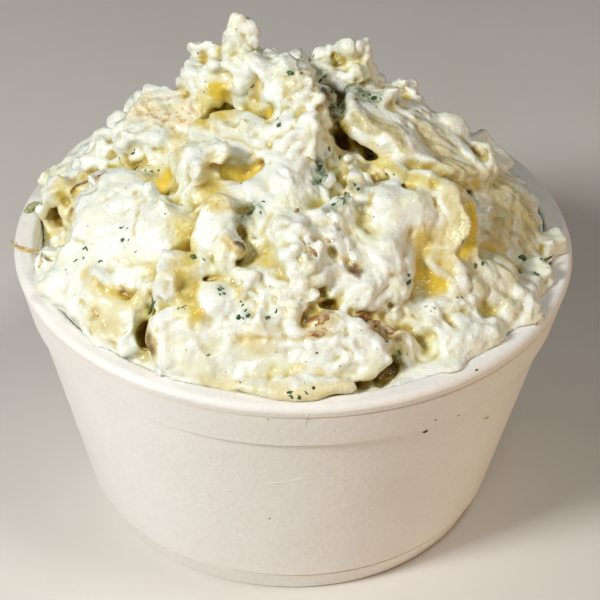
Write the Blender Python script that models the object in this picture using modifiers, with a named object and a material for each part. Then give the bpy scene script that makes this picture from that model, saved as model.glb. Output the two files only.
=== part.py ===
"""Potato salad heaped in a round foam cup.

Metres, +Z up. The origin is on the cup's axis, at the surface that the cup stands on. The heap's best side
faces -Y. Two solids: foam_cup, and potato_salad, which is the heap out to its uneven outline.
"""

import math
import random

import bmesh
import bpy
from mathutils import Matrix, Vector, noise
from mathutils.bvhtree import BVHTree

MM = 0.001

# Cup: driving sizes
CUP_HEIGHT = 62 * MM
RIM_RADIUS = 58.5 * MM
LIP_WIDTH = 4.5 * MM
LIP_ROUNDING = 1.4 * MM
COLLAR_HEIGHT = 11.5 * MM
COLLAR_DRAFT = 2.3 * MM
COLLAR_STEP = 1.1 * MM
FOOT_RADIUS = 44.6 * MM
FOOT_HEIGHT = 5.5 * MM
BASE_RADIUS = 42.6 * MM
BASE_ROUNDING = 1.2 * MM
RECESS_RADIUS = 36 * MM
RECESS_DEPTH = 1.2 * MM
FLOOR_HEIGHT = 3.2 * MM
INNER_FOOT_RADIUS = 41.2 * MM
INNER_ROUNDING = 3 * MM
CUP_STEPS = 56

# Heap: driving sizes
HEAP_BASE = 62.5 * MM
HEAP_RISE = 28.5 * MM
HEAP_RADIUS = 51 * MM
HEAP_CENTRE = Vector((-4 * MM, 2 * MM))
HEAP_FULLNESS = 0.8
CORE_SINK = 2.6 * MM
CORE_RINGS = 8
CORE_STEPS = 36
CORE_RELIEF = 1.8 * MM
SMALL_PIECE = 5.6 * MM
LARGE_PIECE = 10 * MM
COAT = 0.7 * MM
PIECE_ROUGHNESS = 0.14
ROUGHNESS_SPACING = 5 * MM
EDGE_FALL = 6 * MM
CONTACT_GAP = 0.3 * MM
TILT_OF_FRONT = math.radians(34)

# Chunks that fill the back and the edge of the heap
CHUNKS = 64
CHUNK_SEED = 5
CHUNK_SIZES = (4.2, 6.6)
CHUNK_SINK = (1.05, 1.3)
CHUNK_REACH = 47
CHUNK_LIMIT = 46
HAND_PLACED_REACH = 44
HAND_PLACED_BACK = 10

# Where the three parts of a random shift are read, far enough apart to be unlike
DRIFT_OFFSETS = [Vector((0, 0, 0)), Vector((31.4, 7.7, 12.1)), Vector((5.3, 43.9, 27.6))]

GOLDEN_ANGLE = math.radians(137.5)

LUMP, STALK, BLOCK, SLICE = "lump", "stalk", "block", "slice"

# Each piece that shows: its name, its form, its place on the plan with how far its middle stands above the
# bare heap, its half sizes, and how far it is turned to its side, tipped to the front and spun. Millimetres
# and degrees. A tip of 0 lays a slice flat, and 90 stands it facing the front.
PEAKS = [
    ("left_knob", LUMP, (-12, 14, 10.5), (3.1, 3.2, 5.4), (0, 6, 0)),
    ("left_knob_nub", LUMP, (-10, 12, 11), (1.5, 2, 2), (0, 0, 0)),
    ("left_knob_side", LUMP, (-9, 12, 8.5), (1.5, 1.5, 1.5), (0, 0, 0)),
    ("knob_stem", LUMP, (-12, 13, 5.5), (4.6, 4.4, 4.8), (0, 0, 0)),
    ("left_shoulder", BLOCK, (-18, 14, 5.5), (3.3, 3.8, 4), (20, 20, 10)),
    ("left_shoulder_top", LUMP, (-19, 14, 9), (1.6, 1.6, 1.6), (0, 0, 0)),
    ("left_shoulder_in", LUMP, (-16, 13, 6), (3, 3.6, 4), (0, 0, 0)),
    ("left_edge", LUMP, (-22, 11, 4), (2.8, 3.2, 3.8), (0, 0, 0)),
    ("left_edge_in", LUMP, (-18, 9, 4), (4.2, 4.2, 4.6), (0, 0, 0)),
    ("plateau_left", LUMP, (-5, 12, 4), (3.6, 4, 3.6), (0, 0, 0)),
    ("plateau_right", BLOCK, (-1, 14, 2), (4.2, 3.8, 3.4), (12, 15, 20)),
    ("right_peak", BLOCK, (12, 17, 5), (3.2, 3.8, 6.4), (10, 6, 0)),
    ("right_peak_top", LUMP, (12, 17, 10.5), (2.6, 2.6, 2), (0, 0, 0)),
    ("right_arm", STALK, (5.5, 16, 7.5), (1.6, 1.6, 3.8), (98, 74, 0)),
    ("right_arm_knob", LUMP, (3.6, 16, 7.5), (1.4, 1.4, 1.5), (0, 0, 0)),
    ("right_peak_base", LUMP, (10, 13, 2), (6.4, 5.5, 5.6), (0, 0, 0)),
    ("right_bumps", BLOCK, (19, 13, -0.8), (5.4, 5.2, 4.4), (15, 20, -15)),
    ("right_bumps_end", BLOCK, (23, 13, -0.5), (4, 4.4, 3.4), (35, 25, 0)),
]
CENTRE = [
    ("central_mass", LUMP, (-10, 8, 3.5), (6.4, 6, 6.6), (0, 0, 0)),
    ("central_nub", STALK, (-7, 8, 7), (1.8, 1.8, 3), (80, 70, 0)),
    ("top_lobe", LUMP, (-3, 5, 3.5), (6.2, 6, 6.8), (0, 10, 0)),
    ("right_lobe", LUMP, (2, 0, 1), (6.4, 6, 7.6), (20, 20, 0)),
    ("ridge_mid", LUMP, (1, -6, -2.5), (6.6, 6.4, 6.8), (0, 30, 0)),
    ("ridge_low", LUMP, (-1, -14, -4.5), (6, 6.4, 5.6), (0, 30, 20)),
    ("ridge_foot", LUMP, (-1, -20, -4), (6.6, 5.6, 4.6), (0, 40, 0)),
    ("skin_arc_left", STALK, (11, 6, 3), (1.7, 1.7, 3.4), (75, 80, 0)),
    ("skin_arc_right", STALK, (16, 6, 4.5), (1.7, 1.7, 3.4), (105, 84, 0)),
    ("upper_ridge", LUMP, (-1, -29, -1.5), (4.6, 4.6, 4.4), (0, 40, 0)),
    ("mid_ridge", LUMP, (1, -33, -1.5), (6, 7.4, 5.6), (-14, 50, 0)),
    ("mid_left", LUMP, (-7, -37, -2.5), (5.6, 5, 4.6), (0, 45, 0)),
    ("mid_cream", LUMP, (0, -40, -2), (7, 5, 4.8), (0, 45, 0)),
    ("brown_lump", BLOCK, (8, -26, -2), (4.8, 5, 4), (20, 45, 10)),
    ("brown_wall", BLOCK, (7, -32, -2), (3.2, 5.6, 3.8), (10, 50, -14)),
    ("centre_right", LUMP, (18, -21, -2.5), (7.6, 8, 5), (10, 45, 0)),
    ("centre_right_low", LUMP, (18, -30, -2), (6.2, 8, 5), (14, 50, 0)),
    ("herb_lump", STALK, (12, -17, -0.5), (1.7, 1.7, 3.6), (-12, 50, 0)),
    ("herb_lump_top", LUMP, (10, -12, -1), (2, 2, 2.2), (0, 0, 0)),
    ("under_slice", LUMP, (17, -11, -3), (6, 5, 4), (0, 30, 0)),
    ("low_centre", LUMP, (12, -36, -2.5), (6, 5, 4.6), (4, 50, 0)),
]
LEFT = [
    ("crumb_chunk", BLOCK, (-26, 5, -0.5), (7.2, 5, 3.9), (-12, 14, -8)),
    ("crumb_edge", LUMP, (-32, 7, 1.5), (2.6, 3, 3.2), (0, 0, 0)),
    ("crumb_back", BLOCK, (-31, 14, -2.5), (4, 4.2, 3.2), (-20, 20, 0)),
    ("left_cube", BLOCK, (-38, 20, -2), (1.7, 1.9, 1.8), (-20, 20, 15)),
    ("shelf_slice", SLICE, (-13, -6, -1), (8, 4.8, 1.9), (4, 26, 0)),
    ("shelf_lip", LUMP, (-18, -6, -0.5), (2.6, 2.6, 2.2), (0, 0, 0)),
    ("under_shelf", BLOCK, (-11, -10, -5), (5.4, 3.8, 3.2), (2, 30, 0)),
    ("pocket_face", BLOCK, (-17, -14, -2.5), (2.8, 3.4, 6.6), (10, 8, 0)),
    ("pocket_left", LUMP, (-21, -12, -2), (4.4, 3.8, 6.4), (0, 0, 0)),
    ("pocket_lump", LUMP, (-10, -20, -3), (4.4, 3.6, 3.8), (0, 0, 0)),
    ("left_upper", LUMP, (-30, 0, -1), (8, 6, 5), (-20, 20, 0)),
    ("left_upper_edge", BLOCK, (-37, 4, -4), (6, 5, 4.2), (-30, 30, 10)),
    ("left_mass", LUMP, (-33, -15, -3.5), (11.5, 8.6, 6.2), (-30, 36, 0)),
    ("left_mass_edge", LUMP, (-39, -18, -3.5), (9, 8.6, 5.8), (-42, 40, 0)),
    ("left_mass_in", LUMP, (-25, -24, -3), (8, 6.4, 5.6), (-16, 40, 0)),
    ("left_low", LUMP, (-46, -18, -3), (7, 8, 5), (-60, 40, 0)),
    ("left_chunk", BLOCK, (-42, -26, -3.5), (7.4, 5.4, 5.2), (-44, 44, 0)),
    ("left_low_slice", SLICE, (-36, -35, -1.5), (5.6, 4.4, 3.4), (-26, 60, 10)),
    ("cavity_bits", BLOCK, (-30, -40, -2.5), (3.6, 2.6, 2.8), (-10, 40, 20)),
    ("left_curl", SLICE, (-47, 16, -4.5), (3.4, 11, 1.9), (-58, 40, 0)),
    ("left_curl_tip", LUMP, (-51, 13, -0.5), (3.4, 3.6, 2.2), (0, 0, 0)),
    ("left_curl_low", SLICE, (-52, 3, -2.5), (3.4, 8, 2.2), (-78, 50, 0)),
    ("flap", SLICE, (-15, -30, 0), (4.2, 8.2, 2), (-6, 56, 0)),
    ("flap_top", LUMP, (-14, -24, -1.5), (5, 3.6, 3.2), (0, 40, 0)),
    ("flap_tip", LUMP, (-17, -34, -0.5), (2.2, 2.6, 2.2), (0, 0, 0)),
    ("finger", BLOCK, (-24, -37, -0.5), (1.5, 3, 7.4), (-6, 8, 0)),
    ("gold_face", BLOCK, (-21, -33, -4.5), (4.2, 2.6, 8), (0, 18, 0)),
    ("round_lump", LUMP, (-14, -39, -1.5), (4.6, 4, 5), (0, 20, 0)),
    ("round_lump_cap", LUMP, (-12, -36, -2), (3, 3, 3), (0, 0, 0)),
    ("far_left_lump", LUMP, (-38, 31, -4.5), (4, 4, 3.4), (0, 0, 0)),
]
RIGHT = [
    ("big_slice", SLICE, (24, 1, 1.5), (10.2, 16.4, 2.2), (90, 25, -9)),
    ("slice_cream", LUMP, (23, 3, 2.5), (7.6, 4, 2.2), (90, 25, 60)),
    ("white_nub", LUMP, (32, 8, 4), (3.6, 3.8, 3.8), (0, 0, 0)),
    ("white_nub_top", LUMP, (32, 8, 6), (1.9, 1.9, 1.8), (0, 0, 0)),
    ("slice_end", LUMP, (38, 0, 7.5), (4.6, 5, 4.8), (0, 0, 0)),
    ("shadow_slab", BLOCK, (38, 9, 0.5), (4.6, 5.4, 4.4), (50, 30, 0)),
    ("round_slice", SLICE, (28, -19, -1), (9, 9.8, 4.2), (-14, 50, 0)),
    ("round_slice_cream", LUMP, (21, -24, -1), (6, 9, 3.2), (4, 50, -22)),
    ("bare_slice", SLICE, (28, -26, -3), (7.4, 6, 3.2), (14, 56, 0)),
    ("drip_top", STALK, (29, -27, 1), (0.8, 0.8, 2.6), (-30, 140, 0)),
    ("drip_end", STALK, (31, -28, 0.5), (0.8, 0.8, 2.6), (-70, 120, 0)),
    ("right_slope", LUMP, (42, -5, -2.5), (11, 13, 6.2), (42, 50, 10)),
    ("right_slope_top", LUMP, (40, 6, -4), (8, 8, 5), (40, 40, 0)),
    ("right_slope_low", LUMP, (36, -24, -3), (11, 9, 5.6), (30, 50, 0)),
    ("right_foot", LUMP, (28, -33, -4), (10, 6, 4.6), (20, 48, 0)),
    ("skin_patch", SLICE, (49, 6, -1.5), (3.6, 5.4, 2.2), (60, 56, 0)),
    ("gold_stripe", BLOCK, (43, 3, -1), (1.6, 6.6, 2.4), (30, 46, 8)),
    ("tab_back", BLOCK, (43, 30, 0.5), (1.7, 2.6, 3.6), (35, 20, 0)),
    ("tab_middle", BLOCK, (47, 23, -0.5), (3.2, 2.8, 4.2), (60, 30, 0)),
    ("tab_front", BLOCK, (51, 16, 0), (2.6, 3, 3.6), (70, 25, 0)),
    ("rim_cube", BLOCK, (54, -5, 1), (2, 2, 2.9), (24, 10, 0)),
    ("right_cream_top", LUMP, (49, -7, -1.5), (4.4, 4.6, 3.6), (50, 40, 0)),
    ("right_cream_mid", LUMP, (50, -15, -2), (4.6, 4.4, 3.4), (50, 30, 0)),
    ("right_cream_low", LUMP, (43, -22, -2.5), (6, 5, 4), (40, 40, 0)),
    ("right_cream_end", LUMP, (46, -26, -2), (5.4, 4.6, 3.4), (0, 0, 0)),
    ("rim_smear_left", LUMP, (32, -38, 0.5), (5.4, 4.6, 3.2), (30, 20, 0)),
    ("rim_smear_right", LUMP, (38, -35, 0), (5, 4.2, 3), (30, 20, 0)),
]
FRONT = [
    ("front_slice", SLICE, (-5, -45, -3), (22.6, 8.6, 3.3), (0, 50, -2)),
    ("front_top", LUMP, (-8, -44, -1.5), (15, 4.6, 4), (-4, 40, 0)),
    ("front_left", LUMP, (-20, -45, -0.5), (6, 5, 4.2), (-20, 20, 0)),
    ("front_right", LUMP, (13, -43, -1), (8, 4.4, 3.4), (10, 40, 0)),
    ("front_fold", SLICE, (22, -42, 1), (2.4, 5, 1.3), (50, 64, 20)),
    ("front_lip", LUMP, (0, -54, 1), (12, 2.6, 1.4), (0, 0, 0)),
]
PIECES = PEAKS + CENTRE + LEFT + RIGHT + FRONT

# Hollows between the pieces: place as above, and half sizes
HOLLOWS = [
    ("gold_wedge", (-15, 2, 1.5), (2.6, 4.6, 3.4)),
    ("band_under_the_shelf", (-11, -16, 0.5), (5.4, 2.2, 2)),
    ("trench", (7, 5, 3), (2.6, 4, 5)),
    ("dark_hole", (11, -6, -0.5), (1.6, 3, 3)),
    ("under_the_slice", (14, -13, 0), (3.6, 3, 2.4)),
    ("pit_right", (12, -33, 0.5), (2.4, 2.2, 3)),
    ("pit_left", (-10, -30, 0), (2.4, 2.4, 2.8)),
    ("beside_the_lump", (-21, -38, -0.5), (2, 2, 5)),
    ("left_hollow", (-35, -33, 0.5), (5, 2, 1.7)),
    ("left_cavity", (-29, -41, 1), (2.6, 2.6, 4)),
    ("upper_left_cavity", (-27, -15, 0), (2.4, 2.4, 2.8)),
    ("crack_under_the_slice", (16, -52, 0.5), (6.6, 1.6, 1.3)),
    ("left_rim_gap", (-50, 3, -7.5), (2.6, 5, 3.4)),
    ("right_rim_gap", (55, 12, -2.5), (2.6, 7, 4.6)),
]

# Herb flakes large enough to show from a step away: place on the plan and length
HERB_FLAKES = [
    (0, -54, 4.6), (-21, -28, 2.8), (-9, -37, 2.6), (6, -16, 3.4), (9, -9, 2.8), (13, -15, 3), (4, 15, 4),
    (49, -13, 2.6), (40, -18, 2.6), (26, -31, 2.4), (-53, 12, 3), (-15, -36, 3), (14, -17, 2.6),
    (-27, -12, 2.6),
]
HERB_THICKNESS = 0.9 * MM
HERB_WIDTH = 0.55


def clear_scene():
    for obj in list(bpy.data.objects):
        bpy.data.objects.remove(obj, do_unlink=True)


def new_collection(name):
    collection = bpy.data.collections.new(name)
    bpy.context.scene.collection.children.link(collection)
    return collection


def plain_material(name, colour, roughness):
    material = bpy.data.materials.new(name)
    material.use_nodes = True
    shader = material.node_tree.nodes["Principled BSDF"]
    shader.inputs["Base Color"].default_value = (*colour, 1)
    shader.inputs["Roughness"].default_value = roughness
    shader.inputs["Metallic"].default_value = 0
    return material


def new_object(name, mesh, collection):
    obj = bpy.data.objects.new(name, mesh)
    collection.objects.link(obj)
    return obj


def evaluated_mesh(obj):
    """The object's mesh with its modifiers applied."""
    bpy.context.view_layer.update()
    graph = bpy.context.evaluated_depsgraph_get()
    return bpy.data.meshes.new_from_object(obj.evaluated_get(graph))


def arc(centre_r, centre_z, radius, start, end, steps):
    """Points of a corner's arc on a turned profile, from one angle to another in degrees."""
    points = []
    for i in range(steps + 1):
        a = math.radians(start + (end - start) * i / steps)
        points.append((centre_r + radius * math.cos(a), centre_z + radius * math.sin(a)))
    return points


def turned(name, profile, steps, collection):
    """A closed body turned about Z from a profile of (radius, height) that starts and ends on the axis."""
    mesh = bpy.data.meshes.new(name)
    mesh.from_pydata([(r, 0, z) for r, z in profile], [(i, i + 1) for i in range(len(profile) - 1)], [])
    obj = new_object(name, mesh, collection)
    screw = obj.modifiers.new("Turn", "SCREW")
    screw.steps = steps
    screw.render_steps = steps
    screw.use_merge_vertices = True
    screw.merge_threshold = 0.00001
    return obj


# Cup

def inner_radius(z):
    """The radius of the cup's inner wall at a height."""
    share = (z - FLOOR_HEIGHT) / (CUP_HEIGHT - FLOOR_HEIGHT)
    return INNER_FOOT_RADIUS + share * (RIM_RADIUS - LIP_WIDTH - INNER_FOOT_RADIUS)


def cup_profile():
    """Inner floor, inner wall, over the rolled lip, down the collar and the wall, and under the base."""
    lip_inner = RIM_RADIUS - LIP_WIDTH
    collar_bottom = CUP_HEIGHT - COLLAR_HEIGHT
    corner = FLOOR_HEIGHT + INNER_ROUNDING
    profile = [(0, FLOOR_HEIGHT)]
    profile += arc(inner_radius(corner) - INNER_ROUNDING, corner, INNER_ROUNDING, -90, -10, 3)
    profile += arc(lip_inner + LIP_ROUNDING, CUP_HEIGHT - LIP_ROUNDING, LIP_ROUNDING, 180, 90, 3)
    profile += arc(RIM_RADIUS - LIP_ROUNDING, CUP_HEIGHT - LIP_ROUNDING, LIP_ROUNDING, 90, 0, 3)
    profile += [
        (RIM_RADIUS - COLLAR_DRAFT, collar_bottom + 0.3 * MM),
        (RIM_RADIUS - COLLAR_DRAFT - COLLAR_STEP, collar_bottom - 0.4 * MM),
        (FOOT_RADIUS, FOOT_HEIGHT),
        (FOOT_RADIUS - 0.5 * MM, FOOT_HEIGHT - 0.8 * MM),
    ]
    profile += arc(BASE_RADIUS - BASE_ROUNDING, BASE_ROUNDING, BASE_ROUNDING, 0, -90, 3)
    profile += [(RECESS_RADIUS, 0), (RECESS_RADIUS - RECESS_DEPTH, RECESS_DEPTH), (0, RECESS_DEPTH)]
    return profile


def make_cup(collection):
    cup = turned("foam_cup", cup_profile(), CUP_STEPS, collection)
    cup.data.materials.append(plain_material("white_foam", (0.86, 0.83, 0.78), 0.6))
    return cup


# Heap

def heap_height(x, y):
    """The height of the bare heap over a point of the plan."""
    off = Vector((x, y)) - HEAP_CENTRE
    inside = max(0.0, 1 - off.length_squared / HEAP_RADIUS ** 2)
    return HEAP_BASE + HEAP_RISE * inside ** HEAP_FULLNESS


def turning(side, tip, spin):
    """A piece's axes: spun about its thin axis, tipped to the front, then turned to its side."""
    return (
        Matrix.Rotation(math.radians(side), 4, "Z")
        @ Matrix.Rotation(math.radians(tip), 4, "X")
        @ Matrix.Rotation(math.radians(spin), 4, "Z")
    )


def on_heap(place):
    """A place on the plan, in millimetres, with its height above the bare heap, as a point."""
    x, y, lift = (value * MM for value in place)
    return Vector((x, y, heap_height(x, y) + lift))


def form_mesh(form, half):
    """One piece about the origin, with few sides and soft corners."""
    a, b, c = half
    bm = bmesh.new()
    if form == BLOCK:
        bmesh.ops.create_cube(bm, size=2)
        bmesh.ops.scale(bm, vec=half, verts=bm.verts)
        if max(half) > SMALL_PIECE:
            bmesh.ops.bevel(bm, geom=list(bm.edges), offset=0.32 * min(half), segments=1, affect="EDGES")
    elif form == SLICE:
        sides = 16 if max(a, b) > LARGE_PIECE else 9
        bmesh.ops.create_cone(bm, cap_ends=True, segments=sides, radius1=1, radius2=1, depth=2)
        bmesh.ops.scale(bm, vec=half, verts=bm.verts)
        rims = [edge for edge in bm.edges if abs(edge.verts[0].co.z - edge.verts[1].co.z) < c]
        bmesh.ops.bevel(bm, geom=rims, offset=0.42 * c, segments=1, affect="EDGES")
    else:
        sides, rings = (6, 4) if max(half) < SMALL_PIECE else (7, 5) if max(half) < LARGE_PIECE else (9, 6)
        bmesh.ops.create_uvsphere(bm, u_segments=sides, v_segments=rings, radius=1)
        bmesh.ops.scale(bm, vec=half, verts=bm.verts)
    return bm


def drift(point):
    """A smooth shift, up to about 1 along each axis, that depends on the place alone."""
    return Vector([noise.noise(point + offset) for offset in DRIFT_OFFSETS])


def roughen(bm, matrix, amount, scale):
    """Places the piece, and shifts its points a little, so that no two are alike."""
    bmesh.ops.transform(bm, matrix=matrix, verts=bm.verts)
    for vert in bm.verts:
        vert.co += drift(vert.co / scale) * amount


def make_piece(name, form, place, half, turn, collection):
    grown = [value * MM + COAT for value in half]
    bm = form_mesh(form, grown)
    matrix = Matrix.Translation(on_heap(place)) @ turning(*turn)
    roughen(bm, matrix, PIECE_ROUGHNESS * min(grown), ROUGHNESS_SPACING)
    mesh = bpy.data.meshes.new(name)
    bm.to_mesh(mesh)
    bm.free()
    return new_object(name, mesh, collection)


def scattered_chunks():
    """Chunks spread evenly over the heap by the golden angle, kept where no piece is placed by hand."""
    draw = random.Random(CHUNK_SEED)
    chunks = []
    for i in range(CHUNKS):
        reach = CHUNK_REACH * math.sqrt((i + 0.5) / CHUNKS)
        angle = i * GOLDEN_ANGLE + draw.uniform(-0.2, 0.2)
        x = HEAP_CENTRE.x / MM + reach * math.cos(angle)
        y = HEAP_CENTRE.y / MM + reach * math.sin(angle)
        pull = min(1, CHUNK_LIMIT / math.hypot(x, y))
        x, y = x * pull, y * pull
        form = draw.choice((LUMP, BLOCK, BLOCK, SLICE))
        size = draw.uniform(*CHUNK_SIZES)
        thickness = 0.45 if form == SLICE else 0.8
        half = (size * draw.uniform(0.8, 1.25), size * draw.uniform(0.8, 1.2), size * thickness)
        lift = -size * draw.uniform(*CHUNK_SINK)
        turn = (draw.uniform(-180, 180), draw.uniform(10, 60), draw.uniform(0, 180))
        if y > HAND_PLACED_BACK or math.hypot(x, y) > HAND_PLACED_REACH:
            chunks.append((f"chunk_{i}", form, (x, y, lift), half, turn))
    return chunks


def make_core(collection):
    """The salad inside the cup, closed by a bumpy mound a little below the pieces' middles."""
    edge_height = CUP_HEIGHT - 1.6 * MM
    edge = inner_radius(edge_height) - CONTACT_GAP
    corner = FLOOR_HEIGHT + CONTACT_GAP + INNER_ROUNDING
    profile = [(edge * i / CORE_RINGS, CUP_HEIGHT) for i in range(CORE_RINGS)]
    profile.append((edge, edge_height))
    profile += arc(inner_radius(corner) - CONTACT_GAP - INNER_ROUNDING, corner, INNER_ROUNDING, -10, -90, 2)
    profile.append((0, FLOOR_HEIGHT + CONTACT_GAP))
    turned_core = turned("core", profile, CORE_STEPS, collection)
    mesh = evaluated_mesh(turned_core)
    bpy.data.objects.remove(turned_core)
    for vert in mesh.vertices:
        if vert.co.z < edge_height + 0.1 * MM:
            continue
        x, y, _ = vert.co
        inwards = min(1, (edge - math.hypot(x, y)) / EDGE_FALL)
        bump = noise.noise(Vector((x, y, 0)) / (6 * MM)) * CORE_RELIEF
        raised = heap_height(x, y) - CORE_SINK + bump
        vert.co.z = edge_height + (raised - edge_height) * inwards
    return new_object("potato_salad", mesh, collection)


def join_pieces(core, pieces):
    """Fuses every piece of the collection into the core."""
    union = core.modifiers.new("Fuse", "BOOLEAN")
    union.operation = "UNION"
    union.operand_type = "COLLECTION"
    union.collection = pieces
    union.solver = "MANIFOLD"
    apply_modifiers(core)
    for obj in list(pieces.objects):
        bpy.data.objects.remove(obj, do_unlink=True)


def apply_modifiers(obj):
    mesh = evaluated_mesh(obj)
    obj.modifiers.clear()
    obj.data = mesh


def cut(obj, cutter):
    boolean = obj.modifiers.new("Cut", "BOOLEAN")
    boolean.operation = "DIFFERENCE"
    boolean.object = cutter
    boolean.solver = "MANIFOLD"
    apply_modifiers(obj)


def make_hollow(name, place, half, collection):
    bm = form_mesh(LUMP, [value * MM for value in half])
    bmesh.ops.translate(bm, vec=on_heap(place), verts=bm.verts)
    mesh = bpy.data.meshes.new(name)
    bm.to_mesh(mesh)
    bm.free()
    return new_object(name, mesh, collection)


def make_cup_clearance(collection):
    """The cup with a small gap all round, out past the lip, for trimming what would touch it."""
    top = CUP_HEIGHT + CONTACT_GAP
    bottom = -CONTACT_GAP
    outer = RIM_RADIUS + 20 * MM
    profile = [(inner_radius(bottom) - CONTACT_GAP, bottom), (inner_radius(top) - CONTACT_GAP, top)]
    profile += [(outer, top), (outer, bottom)]
    mesh = bpy.data.meshes.new("cup_clearance")
    edges = [(i, (i + 1) % len(profile)) for i in range(len(profile))]
    mesh.from_pydata([(r, 0, z) for r, z in profile], edges, [])
    ring = new_object("cup_clearance", mesh, collection)
    screw = ring.modifiers.new("Turn", "SCREW")
    screw.steps = CUP_STEPS
    screw.render_steps = CUP_STEPS
    screw.use_merge_vertices = True
    screw.merge_threshold = 0.00001
    return ring


def keep_largest_shell(obj):
    """Drops loose scraps, and fills sealed hollows by dropping their shells."""
    bm = bmesh.new()
    bm.from_mesh(obj.data)
    left = set(bm.verts)
    shells = []
    while left:
        shell = {left.pop()}
        front = list(shell)
        while front:
            vert = front.pop()
            for edge in vert.link_edges:
                other = edge.other_vert(vert)
                if other in left:
                    left.remove(other)
                    shell.add(other)
                    front.append(other)
        shells.append(shell)
    shells.sort(key=len, reverse=True)
    loose = [vert for shell in shells[1:] for vert in shell]
    bmesh.ops.delete(bm, geom=loose, context="VERTS")
    bm.to_mesh(obj.data)
    bm.free()


def make_herb_flakes(salad, collection):
    """Thin flakes of herb, each laid on the heap's surface where its place is met from the front."""
    bm = bmesh.new()
    bm.from_mesh(salad.data)
    surface = BVHTree.FromBMesh(bm)
    bm.free()
    outwards = Vector((0, -math.cos(TILT_OF_FRONT), math.sin(TILT_OF_FRONT)))
    for i, (x, y, length) in enumerate(HERB_FLAKES):
        start = on_heap((x, y, 0)) + outwards * 40 * MM
        point, normal, _, _ = surface.ray_cast(start, -outwards)
        if point is None:
            continue
        bm = bmesh.new()
        bmesh.ops.create_cone(bm, cap_ends=True, segments=5, radius1=1, radius2=1, depth=2)
        half_length = length * MM / 2
        half_sizes = (half_length, half_length * HERB_WIDTH, HERB_THICKNESS / 2)
        bmesh.ops.scale(bm, vec=half_sizes, verts=bm.verts)
        spin = Matrix.Rotation(i * GOLDEN_ANGLE, 4, "Z")
        lying = normal.to_track_quat("Z", "Y").to_matrix().to_4x4()
        bmesh.ops.transform(bm, matrix=Matrix.Translation(point) @ lying @ spin, verts=bm.verts)
        mesh = bpy.data.meshes.new(f"herb_{i}")
        bm.to_mesh(mesh)
        bm.free()
        new_object(f"herb_{i}", mesh, collection)


def make_salad(collection, pieces, cutters):
    salad = make_core(collection)
    for piece in PIECES + scattered_chunks():
        make_piece(*piece, pieces)
    join_pieces(salad, pieces)
    for hollow in HOLLOWS:
        cut(salad, make_hollow(*hollow, cutters))
    make_herb_flakes(salad, pieces)
    join_pieces(salad, pieces)
    cut(salad, make_cup_clearance(cutters))
    keep_largest_shell(salad)
    salad.data.materials.clear()
    salad.data.materials.append(plain_material("dressed_potato", (0.87, 0.82, 0.64), 0.4))
    salad.data.shade_smooth()
    salad.data.set_sharp_from_angle(angle=math.radians(40))
    return salad


def main():
    clear_scene()
    parts = new_collection("potato_salad_in_foam_cup")
    pieces = new_collection("pieces")
    cutters = new_collection("cutters")
    make_cup(parts)
    make_salad(parts, pieces, cutters)
    for cutter in cutters.objects:
        cutter.hide_render = True
        cutter.display_type = "WIRE"


main()
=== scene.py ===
"""Looks of the potato salad in its foam cup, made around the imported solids.

Lengths are millimetres until a mesh is made, +Z up, in the part's frame. The heap is a distance field: potato
pieces over a core, then dressing that fills what lies between them and thins over their edges. Its surface is
meshed and gets fine relief. Marks that belong to one place are given by pixel of the 600 x 600 photograph and
cast from the camera onto the heap.
"""

import itertools
import math
import random

import bpy
import numpy as np
from mathutils import Matrix, Quaternion, Vector
from mathutils.bvhtree import BVHTree


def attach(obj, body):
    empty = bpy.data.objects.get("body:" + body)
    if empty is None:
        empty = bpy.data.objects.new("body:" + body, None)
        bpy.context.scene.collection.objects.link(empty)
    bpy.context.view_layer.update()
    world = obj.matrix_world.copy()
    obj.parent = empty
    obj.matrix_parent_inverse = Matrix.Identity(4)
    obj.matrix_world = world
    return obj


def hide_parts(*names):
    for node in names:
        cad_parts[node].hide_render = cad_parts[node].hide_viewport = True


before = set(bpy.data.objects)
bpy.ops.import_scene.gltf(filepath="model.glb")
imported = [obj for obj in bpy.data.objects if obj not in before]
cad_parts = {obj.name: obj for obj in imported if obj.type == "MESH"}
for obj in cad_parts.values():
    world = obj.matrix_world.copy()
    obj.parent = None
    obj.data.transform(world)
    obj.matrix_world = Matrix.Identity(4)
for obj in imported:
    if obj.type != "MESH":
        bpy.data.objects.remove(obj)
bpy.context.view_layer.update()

MM = 0.001

# Cup
CUP_HEIGHT = 62
RIM_RADIUS = 58.5
LIP_WIDTH = 4.5
LIP_ROUNDING = 1.4
LIP_INNER = RIM_RADIUS - LIP_WIDTH
LIP_MIDDLE = CUP_HEIGHT - LIP_ROUNDING
COLLAR_HEIGHT = 11.5
COLLAR_DRAFT = 2.3
COLLAR_STEP = 1.1
FOOT_RADIUS = 44.6
FOOT_HEIGHT = 5.5
BASE_RADIUS = 42.6
BASE_ROUNDING = 1.2
RECESS_RADIUS = 36
RECESS_DEPTH = 1.2
FLOOR_HEIGHT = 3.2
INNER_FOOT_RADIUS = 41.2
INNER_ROUNDING = 3
CUP_STEPS = 288
LIP_BAND = 3
LINE_DEPTH = 0.28
CORNER_SUPPORT = 0.15
SHARP_ANGLE = 40
FOAM_BEAD = 2.0
FILLING_GAP = 0.2
FILLING_STEPS = 96

# Heap
HEAP_BASE = 62.5
HEAP_RISE = 28.5
HEAP_RADIUS = 51
HEAP_CENTRE = (-4, 2)
HEAP_FULLNESS = 0.8
CORE_SINK = 2.6
CORE_REACH = 52.5
CORE_FALL = 1.5
FRONT_START = 10
FRONT_FADE = 15
FRONT_RISE = 1.9
FRONT_RISE_START = 42
FRONT_RISE_FADE = 6
LIP_REACH = 58.2
WALL_GAP = 0.05
GRID_STEP = 0.5
GRID_LOW = (-59.5, -59.5, 56)
GRID_HIGH = (59.5, 59.5, 107.5)
PIECE_TRIANGLES = 196_000
FAR = 9

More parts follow.
